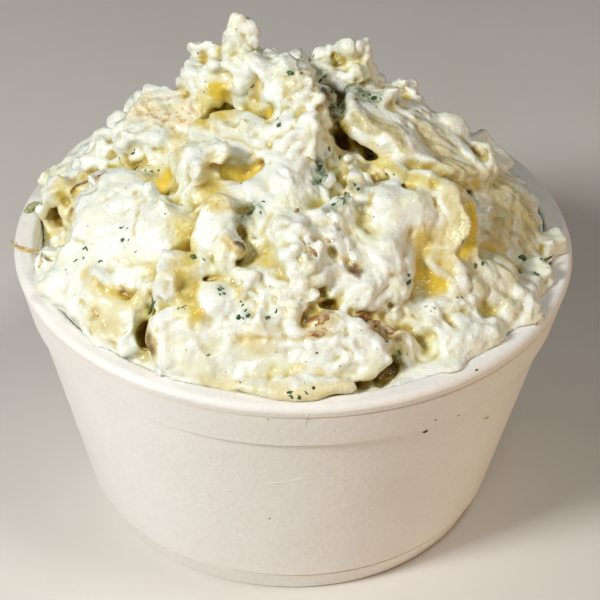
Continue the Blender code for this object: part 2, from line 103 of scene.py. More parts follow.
# Dressing: its thickness, how far from that surface strokes reach, and how far they sink the potato under it
DRESSING = 0.2
DRESSING_BAND = 3.5
DEEPEST = 5
BARE_SINK = 0.25
CREASE_SINK = 0.7
FULLY_BARE = 2.2

# How softly each kind of form runs into what is there
SLICE_JOIN = 0.5
KNOB_JOIN = 1.2
CARVE_JOIN = 1.6
HOLLOW_JOIN = 1

# Uneven surfaces, in layers of noise: size, seed and amount
WARP = ((8, 10, 0.8), (3.6, 20, 0.5))
CORE_NOISE = ((7, 50, 2), (3.4, 51, 0.7))
HOLLOW_NOISE = (2.6, 56, 0.9)
DRESSING_NOISE = ((8, 30, 0.4), (3.2, 31, 0.3))
CARVE_NOISE = ((2.4, 54, 0.9), (5, 55, 0.5))

# Fine relief on the dressing: bumps by size, seed, share of the cells that hold one, sharpness and height
CURDS = ((4.0, 41, 0.6, 0.9, 1.0), (2.4, 42, 0.6, 0.8, 0.5))
PITS = ((1.5, 52, 0.8, 0.7, 1.0), (2.3, 53, 0.4, 0.7, 1.0))
STRAND_REACH = 40
STRAND_WIDTH = 1.2
STRAND_LENGTH = 7
STRAND_HEIGHT = 0.7
RELIEF_LEVEL = 0.95
PIT_DEPTH = 0.55
SLICE_EDGE = 0.5
SLICE_CREAM = 0.4
EDGE_FADE = 2.5
OVER_THE_LIP = 1.2

# How enclosed the heap is round each point, for its painted shade: over how many cells, seen from how far
# out, and smoothed how often
WIDE_CELLS = 5
WIDE_LIFT = 1.5
SMOOTHINGS = 3
SMOOTHING = 0.6

# Lattices of random values that the noise runs between, and cells that hold one round bump each
LATTICE_CELLS = 40
LATTICE_START = 200.5
LATTICE_TURN = np.array(
    (Matrix.Rotation(0.6, 3, "X") @ Matrix.Rotation(0.9, 3, "Y") @ Matrix.Rotation(0.4, 3, "Z")), np.float32
)
CORNERS = list(itertools.product((0, 1), repeat=3))
NEIGHBOURS = list(itertools.product((-1, 0, 1), repeat=3))
BUMP_CELLS = 32
BUMP_START = 100
BUMP_RADII = (0.3, 0.7)
NO_BUMP = 0.001

# Camera, fitted to the cup's rings in the photograph
PHOTO_SIZE = 600
FOCAL_PIXELS = 2200
CAMERA_ELEVATION = 34.4
CAMERA_DISTANCE = 463
CAMERA_AIM = (1.64, 0, 44.6)
CAMERA_ROLL = -1.3
SENSOR = 36

# Places tried along each pixel's ray, from the first to the last distance in steps, and how many of its radii
# a stroke reaches
RAY_STEPS = (330, 520, 0.3)
STROKE_REACH = 2.4

# Lights in metres: name, place, size, power and colour
LIGHT_AIM = (0, 0, 0.06)
LIGHTS = (
    ("key", (-0.40, -0.35, 0.47), 0.14, 3.65, (1.0, 0.99, 0.96)),
    ("top", (0.20, -0.20, 0.69), 0.16, 1.2, (1, 1, 0.96)),
    ("front", (-0.1, -0.65, 0.60), 0.5, 0.1, (1, 0.95, 0.88)),
    ("warm", (0.55, -0.30, 0.02), 0.4, 1.4, (1.0, 0.55, 0.16)),
)
AIR_COLOUR = (1, 0.96, 0.90, 1)
AIR_STRENGTH = 0.035
FLOOR_HALF = 3000

# The plain materials: name, darker and lighter colour, roughness and the size of their patches
LOOKS = {
    "herb_flakes": ("herb", (0.025, 0.075, 0.015), (0.13, 0.20, 0.075), 0.6),
    "browned_bits": ("browned", (0.30, 0.13, 0.04), (0.62, 0.45, 0.25), 0.4, 1.6),
    "pepper_specks": ("pepper", (0.02, 0.015, 0.010), (0.10, 0.07, 0.04), 0.5, 0.5),
    "straw_strand": ("straw", (0.55, 0.34, 0.10), (0.80, 0.62, 0.30), 0.4),
    "green_bead": ("olive_green", (0.20, 0.22, 0.05), (0.52, 0.52, 0.28), 0.35, 2.4),
    "salad_filling": ("filling", (0.90, 0.86, 0.65), (0.92, 0.90, 0.78), 0.4),
    "cup_specks": ("dark_speck", (0.02, 0.012, 0.008), (0.10, 0.05, 0.03), 0.6),
    "cup_crumbs": ("crumb", (0.72, 0.55, 0.28), (0.85, 0.74, 0.50), 0.5),
}

# Chunks that fill the back and the edge of the heap, by the part's own rule
GOLDEN_ANGLE = math.radians(137.5)
CHUNKS = 64
CHUNK_SEED = 5
CHUNK_SIZES = (4.2, 6.6)
CHUNK_SINK = (1.05, 1.3)
CHUNK_REACH = 47
CHUNK_LIMIT = 46
HAND_PLACED_REACH = 44
HAND_PLACED_BACK = 10

LUMP, STALK, BLOCK, SLICE = "lump", "stalk", "block", "slice"
JOIN = {LUMP: 1.8, STALK: 1.2, BLOCK: 0.8, SLICE: 0.5}

# The part's pieces, with the three tabs and the slice's end a little lower and further in, so that the lip
# shows behind them: name, form, place on the plan with the lift above the bare heap, half sizes and, where
# it is turned, how far to its side, to the front and about itself, in millimetres and degrees
PEAKS = [
    ("left_knob", LUMP, (-12, 14, 10.5), (3.1, 3.2, 5.4), (0, 6, 0)),
    ("left_knob_nub", LUMP, (-10, 12, 11), (1.5, 2, 2)),
    ("left_knob_side", LUMP, (-9, 12, 8.5), (1.5, 1.5, 1.5)),
    ("knob_stem", LUMP, (-12, 13, 5.5), (4.6, 4.4, 4.8)),
    ("left_shoulder", BLOCK, (-18, 14, 5.5), (3.3, 3.8, 4), (20, 20, 10)),
    ("left_shoulder_top", LUMP, (-19, 14, 9), (1.6, 1.6, 1.6)),
    ("left_shoulder_in", LUMP, (-16, 13, 6), (3, 3.6, 4)),
    ("left_edge", LUMP, (-22, 11, 4), (2.8, 3.2, 3.8)),
    ("left_edge_in", LUMP, (-18, 9, 4), (4.2, 4.2, 4.6)),
    ("plateau_left", LUMP, (-5, 12, 4), (3.6, 4, 3.6)),
    ("plateau_right", BLOCK, (-1, 14, 2), (4.2, 3.8, 3.4), (12, 15, 20)),
    ("right_peak", BLOCK, (12, 17, 5), (3.2, 3.8, 6.4), (10, 6, 0)),
    ("right_peak_top", LUMP, (12, 17, 10.5), (2.6, 2.6, 2)),
    ("right_arm", STALK, (5.5, 16, 7.5), (1.6, 1.6, 3.8), (98, 74, 0)),
    ("right_arm_knob", LUMP, (3.6, 16, 7.5), (1.4, 1.4, 1.5)),
    ("right_peak_base", LUMP, (10, 13, 2), (6.4, 5.5, 5.6)),
    ("right_bumps", BLOCK, (19, 13, -0.8), (5.4, 5.2, 4.4), (15, 20, -15)),
    ("right_bumps_end", BLOCK, (23, 13, -0.5), (4, 4.4, 3.4), (35, 25, 0)),
]
CENTRE = [
    ("central_mass", LUMP, (-10, 8, 3.5), (6.4, 6, 6.6)),
    ("central_nub", STALK, (-7, 8, 7), (1.8, 1.8, 3), (80, 70, 0)),
    ("top_lobe", LUMP, (-3, 5, 3.5), (6.2, 6, 6.8), (0, 10, 0)),
    ("right_lobe", LUMP, (2, 0, 1), (6.4, 6, 7.6), (20, 20, 0)),
    ("ridge_mid", LUMP, (1, -6, -2.5), (6.6, 6.4, 6.8), (0, 30, 0)),
    ("ridge_low", LUMP, (-1, -14, -4.5), (6, 6.4, 5.6), (0, 30, 20)),
    ("ridge_foot", LUMP, (-1, -20, -4), (6.6, 5.6, 4.6), (0, 40, 0)),
    ("skin_arc_left", STALK, (11, 6, 3), (1.7, 1.7, 3.4), (75, 80, 0)),
    ("skin_arc_right", STALK, (16, 6, 4.5), (1.7, 1.7, 3.4), (105, 84, 0)),
    ("upper_ridge", LUMP, (-1, -29, -1.5), (4.6, 4.6, 4.4), (0, 40, 0)),
    ("mid_ridge", LUMP, (1, -33, -1.5), (6, 7.4, 5.6), (-14, 50, 0)),
    ("mid_left", LUMP, (-7, -37, -2.5), (5.6, 5, 4.6), (0, 45, 0)),
    ("mid_cream", LUMP, (0, -40, -2), (7, 5, 4.8), (0, 45, 0)),
    ("brown_lump", BLOCK, (8, -26, -2), (4.8, 5, 4), (20, 45, 10)),
    ("brown_wall", BLOCK, (7, -32, -2), (3.2, 5.6, 3.8), (10, 50, -14)),
    ("centre_right", LUMP, (18, -21, -2.5), (7.6, 8, 5), (10, 45, 0)),
    ("centre_right_low", LUMP, (18, -30, -2), (6.2, 8, 5), (14, 50, 0)),
    ("herb_lump", STALK, (12, -17, -0.5), (1.7, 1.7, 3.6), (-12, 50, 0)),
    ("herb_lump_top", LUMP, (10, -12, -1), (2, 2, 2.2)),
    ("under_slice", LUMP, (17, -11, -3), (6, 5, 4), (0, 30, 0)),
    ("low_centre", LUMP, (12, -36, -2.5), (6, 5, 4.6), (4, 50, 0)),
]
LEFT = [
    ("crumb_chunk", BLOCK, (-26, 5, -0.5), (7.2, 5, 3.9), (-12, 14, -8)),
    ("crumb_edge", LUMP, (-32, 7, 1.5), (2.6, 3, 3.2)),
    ("crumb_back", BLOCK, (-31, 14, -2.5), (4, 4.2, 3.2), (-20, 20, 0)),
    ("left_cube", BLOCK, (-38, 20, -2), (1.7, 1.9, 1.8), (-20, 20, 15)),
    ("shelf_slice", SLICE, (-13, -6, -1), (8, 4.8, 1.9), (4, 26, 0)),
    ("shelf_lip", LUMP, (-18, -6, -0.5), (2.6, 2.6, 2.2)),
    ("under_shelf", BLOCK, (-11, -10, -5), (5.4, 3.8, 3.2), (2, 30, 0)),
    ("pocket_face", BLOCK, (-17, -14, -2.5), (2.8, 3.4, 6.6), (10, 8, 0)),
    ("pocket_left", LUMP, (-21, -12, -2), (4.4, 3.8, 6.4)),
    ("pocket_lump", LUMP, (-10, -20, -3), (4.4, 3.6, 3.8)),
    ("left_upper", LUMP, (-30, 0, -1), (8, 6, 5), (-20, 20, 0)),
    ("left_upper_edge", BLOCK, (-37, 4, -4), (6, 5, 4.2), (-30, 30, 10)),
    ("left_mass", LUMP, (-33, -15, -3.5), (11.5, 8.6, 6.2), (-30, 36, 0)),
    ("left_mass_edge", LUMP, (-39, -18, -3.5), (9, 8.6, 5.8), (-42, 40, 0)),
    ("left_mass_in", LUMP, (-25, -24, -3), (8, 6.4, 5.6), (-16, 40, 0)),
    ("left_low", LUMP, (-46, -18, -3), (7, 8, 5), (-60, 40, 0)),
    ("left_chunk", BLOCK, (-42, -26, -3.5), (7.4, 5.4, 5.2), (-44, 44, 0)),
    ("left_low_slice", SLICE, (-36, -35, -1.5), (5.6, 4.4, 3.4), (-26, 60, 10)),
    ("cavity_bits", BLOCK, (-30, -40, -2.5), (3.6, 2.6, 2.8), (-10, 40, 20)),
    ("left_curl", SLICE, (-47, 16, -4.5), (3.4, 11, 1.9), (-58, 40, 0)),
    ("left_curl_tip", LUMP, (-51, 13, -0.5), (3.4, 3.6, 2.2)),
    ("left_curl_low", SLICE, (-52, 3, -2.5), (3.4, 8, 2.2), (-78, 50, 0)),
    ("flap", SLICE, (-15, -30, 0), (4.2, 8.2, 2), (-6, 56, 0)),
    ("flap_top", LUMP, (-14, -24, -1.5), (5, 3.6, 3.2), (0, 40, 0)),
    ("flap_tip", LUMP, (-17, -34, -0.5), (2.2, 2.6, 2.2)),
    ("finger", BLOCK, (-24, -37, -0.5), (1.5, 3, 7.4), (-6, 8, 0)),
    ("gold_face", BLOCK, (-21, -33, -4.5), (4.2, 2.6, 8), (0, 18, 0)),
    ("round_lump", LUMP, (-14, -39, -1.5), (4.6, 4, 5), (0, 20, 0)),
    ("round_lump_cap", LUMP, (-12, -36, -2), (3, 3, 3)),
    ("far_left_lump", LUMP, (-38, 31, -4.5), (4, 4, 3.4)),
]
RIGHT = [
    ("big_slice", SLICE, (24, 1, 1.5), (10.2, 16.4, 2.2), (90, 25, -9)),
    ("slice_cream", LUMP, (23, 3, 2.5), (7.6, 4, 2.2), (90, 25, 60)),
    ("white_nub", LUMP, (32, 8, 4), (3.6, 3.8, 3.8)),
    ("white_nub_top", LUMP, (32, 8, 6), (1.9, 1.9, 1.8)),
    ("slice_end", LUMP, (37, -1, 6), (4.6, 5, 4.8)),
    ("shadow_slab", BLOCK, (38, 9, 0.5), (4.6, 5.4, 4.4), (50, 30, 0)),
    ("round_slice", SLICE, (28, -19, -1), (9, 9.8, 4.2), (-14, 50, 0)),
    ("round_slice_cream", LUMP, (21, -24, -1), (6, 9, 3.2), (4, 50, -22)),
    ("bare_slice", SLICE, (28, -26, -3), (7.4, 6, 3.2), (14, 56, 0)),
    ("drip_top", STALK, (29, -27, 1), (0.8, 0.8, 2.6), (-30, 140, 0)),
    ("drip_end", STALK, (31, -28, 0.5), (0.8, 0.8, 2.6), (-70, 120, 0)),
    ("right_slope", LUMP, (42, -5, -2.5), (11, 13, 6.2), (42, 50, 10)),
    ("right_slope_top", LUMP, (40, 6, -4), (8, 8, 5), (40, 40, 0)),
    ("right_slope_low", LUMP, (36, -24, -3), (11, 9, 5.6), (30, 50, 0)),
    ("right_foot", LUMP, (28, -33, -4), (10, 6, 4.6), (20, 48, 0)),
    ("skin_patch", SLICE, (49, 6, -1.5), (3.6, 5.4, 2.2), (60, 56, 0)),
    ("gold_stripe", BLOCK, (43, 3, -1), (1.6, 6.6, 2.4), (30, 46, 8)),
    ("tab_back", BLOCK, (40, 29, -1.5), (1.7, 2.6, 3.6), (35, 20, 0)),
    ("tab_middle", BLOCK, (44, 20, -2.5), (3.2, 2.8, 4.2), (60, 30, 0)),
    ("tab_front", BLOCK, (48, 13, -2), (2.6, 3, 3.6), (70, 25, 0)),
    ("rim_cube", BLOCK, (54, -5, 1), (2, 2, 2.9), (24, 10, 0)),
    ("right_cream_top", LUMP, (49, -7, -1.5), (4.4, 4.6, 3.6), (50, 40, 0)),
    ("right_cream_mid", LUMP, (50, -15, -2), (4.6, 4.4, 3.4), (50, 30, 0)),
    ("right_cream_low", LUMP, (43, -22, -2.5), (6, 5, 4), (40, 40, 0)),
    ("right_cream_end", LUMP, (46, -26, -2), (5.4, 4.6, 3.4)),
    ("rim_smear_left", LUMP, (32, -38, 0.5), (5.4, 4.6, 3.2), (30, 20, 0)),
    ("rim_smear_right", LUMP, (38, -35, 0), (5, 4.2, 3), (30, 20, 0)),
]
FRONT = [
    ("front_slice", SLICE, (-5, -45, -3), (22.6, 8.6, 3.3), (0, 50, -2)),
    ("front_top", LUMP, (-8, -44, -1.5), (15, 4.6, 4), (-4, 40, 0)),
    ("front_left", LUMP, (-20, -45, -0.5), (6, 5, 4.2), (-20, 20, 0)),
    ("front_right", LUMP, (13, -43, -1), (8, 4.4, 3.4), (10, 40, 0)),
    ("front_fold", SLICE, (22, -42, 1), (2.4, 5, 1.3), (50, 64, 20)),
    ("front_lip", LUMP, (0, -54, 1), (12, 2.6, 1.4)),
]
PIECES = PEAKS + CENTRE + LEFT + RIGHT + FRONT

# Pieces whose cut edges still show, and how far each stands out of the dressing
FILMS = {
    "big_slice": 0.5, "round_slice": 0.1, "front_slice": 0.5, "shelf_slice": 0.8, "crumb_chunk": 0.4,
    "left_curl": 0.6, "left_curl_low": 0.3, "flap": 0.7, "finger": 0.4, "bare_slice": 0.3, "tab_back": 0.4,
    "tab_middle": 0.4, "tab_front": 0.4, "rim_cube": 0.4, "left_cube": 0.4, "gold_stripe": 0.4,
    "skin_patch": 0.4, "front_fold": 0.5, "shadow_slab": 0.4, "white_nub": 0.3, "crumb_back": 0.4,
}

# Hollows cut into the potato, placed like the pieces
HOLLOWS = [
    ("gold_wedge", (-15, 2, 1.5), (2.6, 4.6, 3.4)),
    ("band_under_the_shelf", (-11, -16, 0.5), (5.4, 2.2, 2)),
    ("trench", (7, 5, 3), (2.6, 4, 5)),
    ("dark_hole", (11, -6, -0.5), (1.6, 3, 3)),
    ("under_the_slice", (14, -13, 0), (3.6, 3, 2.4)),
    ("pit_right", (12, -33, 0.5), (2.4, 2.2, 3)),
    ("pit_left", (-10, -30, 0), (2.4, 2.4, 2.8)),
    ("beside_the_lump", (-21, -38, -0.5), (2, 2, 5)),
    ("left_hollow", (-35, -33, 0.5), (5, 2, 1.7)),
    ("left_cavity", (-29, -41, 1), (2.6, 2.6, 4)),
    ("upper_left_cavity", (-27, -15, 0), (2.4, 2.4, 2.8)),
    ("crack_under_the_slice", (16, -52, 0.5), (6.6, 1.6, 1.3)),
    ("left_rim_gap", (-50, 3, -7.5), (2.6, 5, 3.4)),
    ("right_rim_gap", (55, 12, -2.5), (2.6, 7, 4.6)),
]

# Marks by pixel of the photograph: the pixels of a stroke, its radius in millimetres and its strength.
# Here the dressing is thinner, so that the potato shows
BARE = [
    ([(216, 92), (206, 112), (226, 114)], 2.6, 2.6), ([(196, 122), (214, 116)], 1.8, 2.2),
    ([(224, 172), (240, 174), (257, 170)], 1.7, 2.6), ([(250, 152), (262, 158)], 1.7, 2),
    ([(212, 168), (212, 186), (214, 202)], 2.6, 2.3), ([(262, 180), (270, 188)], 1.8, 1.3),
    ([(152, 176), (160, 188), (167, 178)], 2.3, 2.6), ([(184, 224), (188, 246), (190, 262)], 2.8, 2.4),
    ([(182, 276), (190, 298), (192, 316)], 3, 2.5), ([(178, 138), (179, 152)], 1.5, 1.6),
    ([(86, 274), (98, 284), (116, 293), (132, 298)], 2.1, 2.4),
    ([(58, 208), (54, 222), (48, 236)], 2.6, 1.7), ([(60, 186), (76, 182), (92, 172)], 1.7, 1.7),
    ([(98, 318), (112, 326)], 3.2, 1.3), ([(146, 330), (152, 346), (154, 356)], 1.9, 2.2),
    ([(266, 262)], 1.6, 2.2), ([(238, 288), (238, 296)], 1, 1.8),
    ([(226, 236), (240, 252), (258, 258)], 1.1, 1.6),
    ([(364, 118), (382, 124), (396, 134), (404, 144)], 2.1, 2.2),
    ([(346, 126), (360, 146), (384, 166), (410, 181), (436, 187), (462, 186)], 1.3, 3.6),
    ([(448, 196), (457, 214), (458, 234), (448, 252)], 2.4, 1.6),
    ([(470, 204), (475, 222), (472, 242), (464, 256)], 1.5, 2.4),
    ([(66, 214), (62, 228), (52, 240)], 3, 1.3), ([(424, 242), (424, 262), (428, 284)], 3.1, 2.6),
    ([(444, 266), (440, 284)], 2.4, 2.4), ([(480, 250), (494, 246)], 2.6, 1.6),
    ([(501, 178), (502, 200), (500, 226)], 1.4, 1.7), ([(524, 212), (532, 226)], 2.6, 1.6),
    ([(256, 84), (257, 98)], 1.7, 1.3), ([(290, 82), (290, 96)], 1.5, 1.2), ([(270, 117)], 1.5, 2),
    ([(340, 150), (346, 168), (352, 186), (362, 200)], 1.6, 1.6),
    ([(372, 150), (362, 170), (372, 180)], 2, 1.4),
    ([(424, 132), (436, 150), (456, 166), (476, 172)], 2.2, 1.1), ([(248, 340), (268, 344)], 2.6, 0.9),
    ([(298, 371)], 1.5, 1.3), ([(320, 372)], 1.8, 1.2),
    ([(396, 348), (394, 362), (384, 374), (366, 381)], 1.4, 2.2),
    ([(312, 320), (328, 314), (318, 334)], 2, 1.6), ([(360, 314), (384, 328), (396, 336)], 1.8, 1.4),
    ([(150, 108), (164, 116), (182, 112)], 3, 0.9),
    ([(206, 386), (250, 394), (300, 398), (340, 391)], 2.4, 1.3),
]
# Here it is thicker, by so many millimetres
CREAM = [
    ([(100, 226), (124, 244), (104, 256)], 6, 0.9), ([(254, 130), (262, 200), (276, 222)], 3.6, 0.8),
    ([(294, 130), (286, 170), (288, 206)], 4.4, 0.9), ([(388, 206), (412, 204), (430, 206)], 3.2, 0.9),
    ([(396, 216), (384, 246), (370, 276), (366, 296)], 3, 0.9),
    ([(430, 262), (437, 272), (446, 278), (451, 290)], 0.8, 1.5),
    # The stroke at the right rim also keeps the lumps there white, as painted light where the lamps leave
    # them in shade
    ([(452, 336), (470, 334), (486, 330)], 3.4, 1), ([(534, 262), (540, 280), (526, 296)], 4, 0.9),
    ([(214, 226), (206, 252), (212, 270)], 2, 0.9), ([(166, 284), (164, 310), (160, 326)], 1.4, 1.2),
    ([(208, 290), (214, 308)], 2.6, 0.8), ([(180, 338), (176, 356)], 4.6, 0.7),
    ([(360, 112), (378, 138), (404, 160), (434, 174)], 1.2, 0.5), ([(396, 122), (410, 140)], 1.8, 1.2),
    ([(352, 170), (344, 186)], 1.4, 1.2), ([(366, 176), (360, 196)], 1.4, 1.2),
    ([(44, 256), (50, 244), (62, 236), (86, 233)], 0.7, 1.1), ([(320, 350), (356, 348)], 3, 0.6),
]
# Hollows cut into the heap, by so many millimetres
CARVE = [
    ([(323, 86), (328, 98), (334, 112)], 1.2, 2), ([(342, 136), (346, 145)], 1.2, 2.2),
    ([(322, 130), (330, 154), (340, 180)], 1.4, 1.6), ([(28, 214), (25, 230), (28, 240)], 3.4, 6),
    ([(42, 210), (38, 228), (36, 240)], 4.4, 7), ([(58, 210), (52, 224), (46, 236)], 4.2, 7),
    ([(58, 212), (52, 224), (46, 234)], 4.2, 12), ([(66, 214), (62, 228), (50, 241)], 4, 4.6),
    ([(64, 216), (60, 228), (52, 237)], 3.6, 9), ([(30, 216), (27, 234)], 3, 3),
    ([(68, 208), (64, 218)], 2.2, 3.4), ([(232, 112), (222, 106), (212, 100)], 1.6, 2),
    ([(206, 122), (216, 114)], 1, 1.6), ([(228, 171), (244, 173), (260, 169)], 1.3, 2.2),
    ([(236, 240), (244, 234)], 0.8, 1.3), ([(356, 382), (374, 380), (396, 374)], 1.3, 2.4),
    ([(308, 50), (309, 62)], 1, 2), ([(160, 176), (163, 190)], 1.5, 2), ([(472, 142), (482, 156)], 1.2, 2),
    ([(350, 147), (366, 165), (388, 182), (410, 191)], 0.9, 1.7), ([(146, 332), (152, 352)], 1.2, 2.2),
    ([(90, 186), (78, 192), (64, 200)], 1.2, 2.4), ([(98, 176)], 1.2, 1.4),
    ([(308, 322), (316, 312)], 0.9, 1.8), ([(366, 322), (384, 332)], 1, 1.4),
    ([(352, 62), (340, 58)], 1, 0.8), ([(256, 84), (256, 100)], 1, 0.9),
    ([(550, 216), (540, 204)], 1.6, 2.4), ([(470, 262), (474, 276)], 1.4, 2),
    ([(468, 202), (473, 214), (475, 226), (472, 240), (465, 252)], 1.3, 2.8),
]
# Low places filled up with dressing, by so many millimetres
FILL = [
    ([(128, 314), (136, 330)], 3, 1.8), ([(400, 179), (410, 182), (420, 180)], 2.8, 3.2),
    ([(240, 252), (254, 259)], 2.8, 2.2), ([(181, 283), (185, 291)], 2.4, 1.6),
    ([(112, 252), (126, 258), (142, 264)], 4, 2.2), ([(184, 294), (190, 312)], 3.6, 2.2),
    ([(240, 226), (246, 236)], 2.8, 2), ([(354, 262), (362, 272)], 2.8, 1.8),
    ([(322, 70), (326, 80)], 2.6, 1.6), ([(262, 214), (262, 226)], 2.2, 1.6),
    ([(150, 282), (142, 274)], 2.6, 1.4), ([(384, 196), (388, 206)], 2.4, 1.4),
    ([(320, 260), (330, 282)], 2.6, 1), ([(98, 282), (124, 295)], 3, 2.2),
    ([(182, 274), (187, 290)], 3.2, 2.2), ([(214, 94), (222, 106)], 3.4, 2.4),
]
# Faces of crumbly potato, of dull flesh, of yellow and of browned potato, and green from the herbs. Dull,
# yellow and browned faces are partly painted shade: where the heap lies in shadow, in pockets and under
# overhangs, and in the darkest pits and under edges
CRUMB = [
    ([(142, 112), (158, 118), (178, 121), (190, 112)], 3.4, 1),
    ([(146, 100), (166, 98), (184, 96)], 2.6, 0.6), ([(196, 50), (206, 46)], 1.8, 0.5),
]
TAN_AND_SHADE = [
    ([(212, 160), (213, 182), (214, 200)], 2.6, 0.7), ([(358, 120), (378, 128)], 2.2, 1.5),
    ([(390, 130), (404, 144)], 1.8, 1.4), ([(418, 122), (430, 142), (442, 162)], 2.4, 0.8),
    ([(448, 156), (466, 168), (484, 178)], 2.4, 0.8), ([(496, 176), (500, 206), (494, 240)], 3.4, 0.8),
    ([(522, 200), (530, 226), (524, 250)], 3.2, 0.9), ([(482, 200), (484, 230), (480, 262)], 2.4, 0.7),
    ([(470, 270), (490, 284), (506, 270)], 3.4, 0.6), ([(452, 200), (458, 222), (454, 246)], 2.2, 0.6),
    ([(388, 88), (408, 100), (428, 112)], 3.4, 0.5), ([(300, 72), (318, 86), (330, 108)], 2.2, 1),
    ([(348, 62), (358, 80)], 3, 0.3), ([(366, 92), (352, 98)], 2, 0.7), ([(254, 86), (256, 100)], 1.6, 0.6),
    ([(290, 84), (290, 98)], 1.4, 0.7), ([(48, 206), (60, 198)], 1.8, 0.7),
    ([(144, 212), (148, 224)], 1.8, 0.5), ([(206, 143), (224, 144)], 1, 0.6),
    ([(214, 52), (228, 66), (246, 78)], 2.4, 0.25), ([(310, 336), (330, 332)], 1.6, 0.7),
    ([(356, 308), (366, 318)], 2, 0.6), ([(108, 322), (124, 330)], 2.4, 0.5),
    ([(484, 146), (474, 150)], 1.6, 0.7), ([(498, 162), (490, 150)], 1.6, 0.5),
]
AMBER_AND_SHADE = [
    ([(226, 174), (254, 172)], 2, 0.8), ([(161, 192), (167, 176)], 1.8, 0.85),
    ([(220, 110), (217, 92)], 2.2, 0.95), ([(224, 116)], 1.2, 0.9), ([(116, 292), (104, 287)], 1.8, 0.5),
    ([(86, 273)], 1.8, 0.6), ([(188, 286), (178, 268)], 2.2, 0.35), ([(194, 314)], 2, 0.7),
    ([(470, 204), (475, 222), (472, 240), (464, 254)], 1.5, 0.9),
    ([(430, 286), (440, 286), (424, 276)], 2.6, 0.9), ([(268, 263)], 1.2, 0.6), ([(238, 292)], 1, 0.5),
    ([(270, 117)], 1.4, 0.8), ([(344, 160), (348, 178)], 2, 0.35), ([(490, 250)], 2.4, 0.5),
    ([(76, 190), (62, 197)], 1.6, 0.8), ([(460, 188), (478, 183)], 1.4, 0.9),
]
BROWN_AND_SHADE = [
    ([(236, 240), (243, 246)], 1.2, 1), ([(250, 232), (255, 237)], 0.9, 1),
    ([(344, 138), (346, 146)], 1.7, 1), ([(350, 270), (362, 276)], 1.6, 1), ([(358, 300)], 1.2, 0.9),
    ([(310, 320), (316, 316)], 1.3, 1), ([(326, 312), (332, 324)], 1.8, 0.6),
    ([(362, 316), (370, 320)], 1.4, 0.8), ([(382, 328), (398, 338)], 1.5, 0.7),
    ([(304, 240), (308, 254), (314, 268)], 0.8, 0.7), ([(294, 212), (291, 226)], 0.7, 0.5),
    ([(334, 238)], 1.4, 0.8), ([(329, 221), (337, 228)], 1, 0.75), ([(322, 206), (326, 212)], 0.8, 0.6),
    ([(70, 191), (84, 184)], 1.2, 0.9), ([(72, 210), (69, 226), (60, 240)], 0.8, 0.7),
    ([(98, 176), (104, 172)], 1.5, 0.8), ([(148, 336), (154, 352)], 1.7, 0.8),
    ([(356, 383), (374, 380), (390, 374)], 0.9, 1), ([(526, 216), (534, 236), (530, 250)], 2.4, 0.4),
    ([(470, 146), (478, 156)], 1.8, 0.7), ([(420, 124), (432, 146), (440, 158)], 1.4, 0.5),
    ([(163, 124)], 0.8, 0.6), ([(186, 115)], 0.8, 0.5), ([(380, 348)], 0.9, 0.6), ([(361, 329)], 0.7, 0.8),
    ([(324, 92), (330, 104), (336, 120)], 1.4, 0.9), ([(342, 166), (352, 182)], 1, 0.5),
]
GREEN = [
    ([(246, 214), (258, 208)], 2, 0.9), ([(232, 222), (244, 218)], 2, 0.6),
    ([(318, 166), (320, 182)], 2, 0.9), ([(332, 204), (346, 196)], 2.2, 0.8),
    ([(356, 188), (366, 194)], 1.6, 0.6), ([(322, 80), (332, 96), (338, 112)], 2.4, 0.9),
    ([(350, 92), (364, 98), (380, 96)], 2.4, 1), ([(344, 84), (352, 88)], 1.4, 0.8),
    ([(318, 44), (334, 44)], 1.2, 0.9), ([(290, 72)], 1.2, 0.6), ([(280, 125)], 1.6, 0.5),
    ([(222, 290)], 1.4, 0.6), ([(246, 317)], 1.6, 0.6), ([(268, 317)], 1.4, 0.5), ([(150, 174)], 1.4, 0.7),
    ([(122, 240)], 1.2, 0.5), ([(522, 257), (536, 272)], 2, 0.5), ([(408, 283)], 1.2, 0.6),
    ([(368, 156)], 1.6, 0.6), ([(397, 344), (397, 362)], 1.6, 0.6), ([(224, 272)], 1.2, 0.4),
]
# Round knobs that stand out of the dressing: their pixels and radius
KNOBS = [
    ([(185, 288)], 4.8), ([(322, 76), (350, 262), (214, 98)], 3.4),
    ([(243, 252), (230, 247), (260, 243)], 3), ([(336, 130)], 1.7), ([
    (341, 172), (326, 183), (149, 193), (163, 204), (300, 56), (286, 66), (306, 72), (338, 84),
    (430, 108), (316, 100), (540, 240), (536, 262), (534, 294), (500, 318), (150, 106), (160, 112),
    (170, 104), (178, 114), (186, 106), (148, 120), (100, 144), (110, 150), (122, 146), (142, 142),
    (204, 124), (232, 132), (240, 124), (280, 146), (262, 160), (292, 152), (296, 248), (316, 246),
    (310, 262), (318, 276), (296, 306), (276, 314), (350, 334), (362, 340), (384, 358), (340, 318),
    (372, 304), (404, 324), (408, 344), (228, 238), (240, 262), (252, 276), (244, 292), (120, 328),
    (92, 322), (150, 290), (142, 262), ], 1.4), ([
    (353, 178), (228, 22), (240, 20), (246, 50), (208, 48), (352, 38), (322, 76), (366, 72), (382, 84),
    (402, 86), (412, 96), (420, 104), (384, 100), (298, 74), (300, 96), (288, 100), (552, 244),
    (548, 256), (544, 274), (518, 296), (510, 310), (140, 96), (130, 138), (218, 128), (256, 142),
    (304, 122), (314, 130), (310, 146), (300, 228), (286, 236), (292, 272), (302, 288), (280, 292),
    (264, 300), (258, 322), (316, 298), (334, 340), (342, 352), (372, 352), (356, 362), (350, 306),
    (392, 312), (416, 330), (430, 322), (226, 266), (104, 334), (132, 316), (142, 302), (128, 270), ], 1.6),
    ([ (336, 216), (222, 152), (252, 32), (233, 44), (196, 50), (190, 72), (216, 66), (262, 62), (276, 56),
    (290, 62), (364, 46), (346, 54), (330, 64), (352, 76), (392, 92), (310, 84), (528, 284), (270, 136),
    (298, 138), (282, 258), ], 1.9),
]
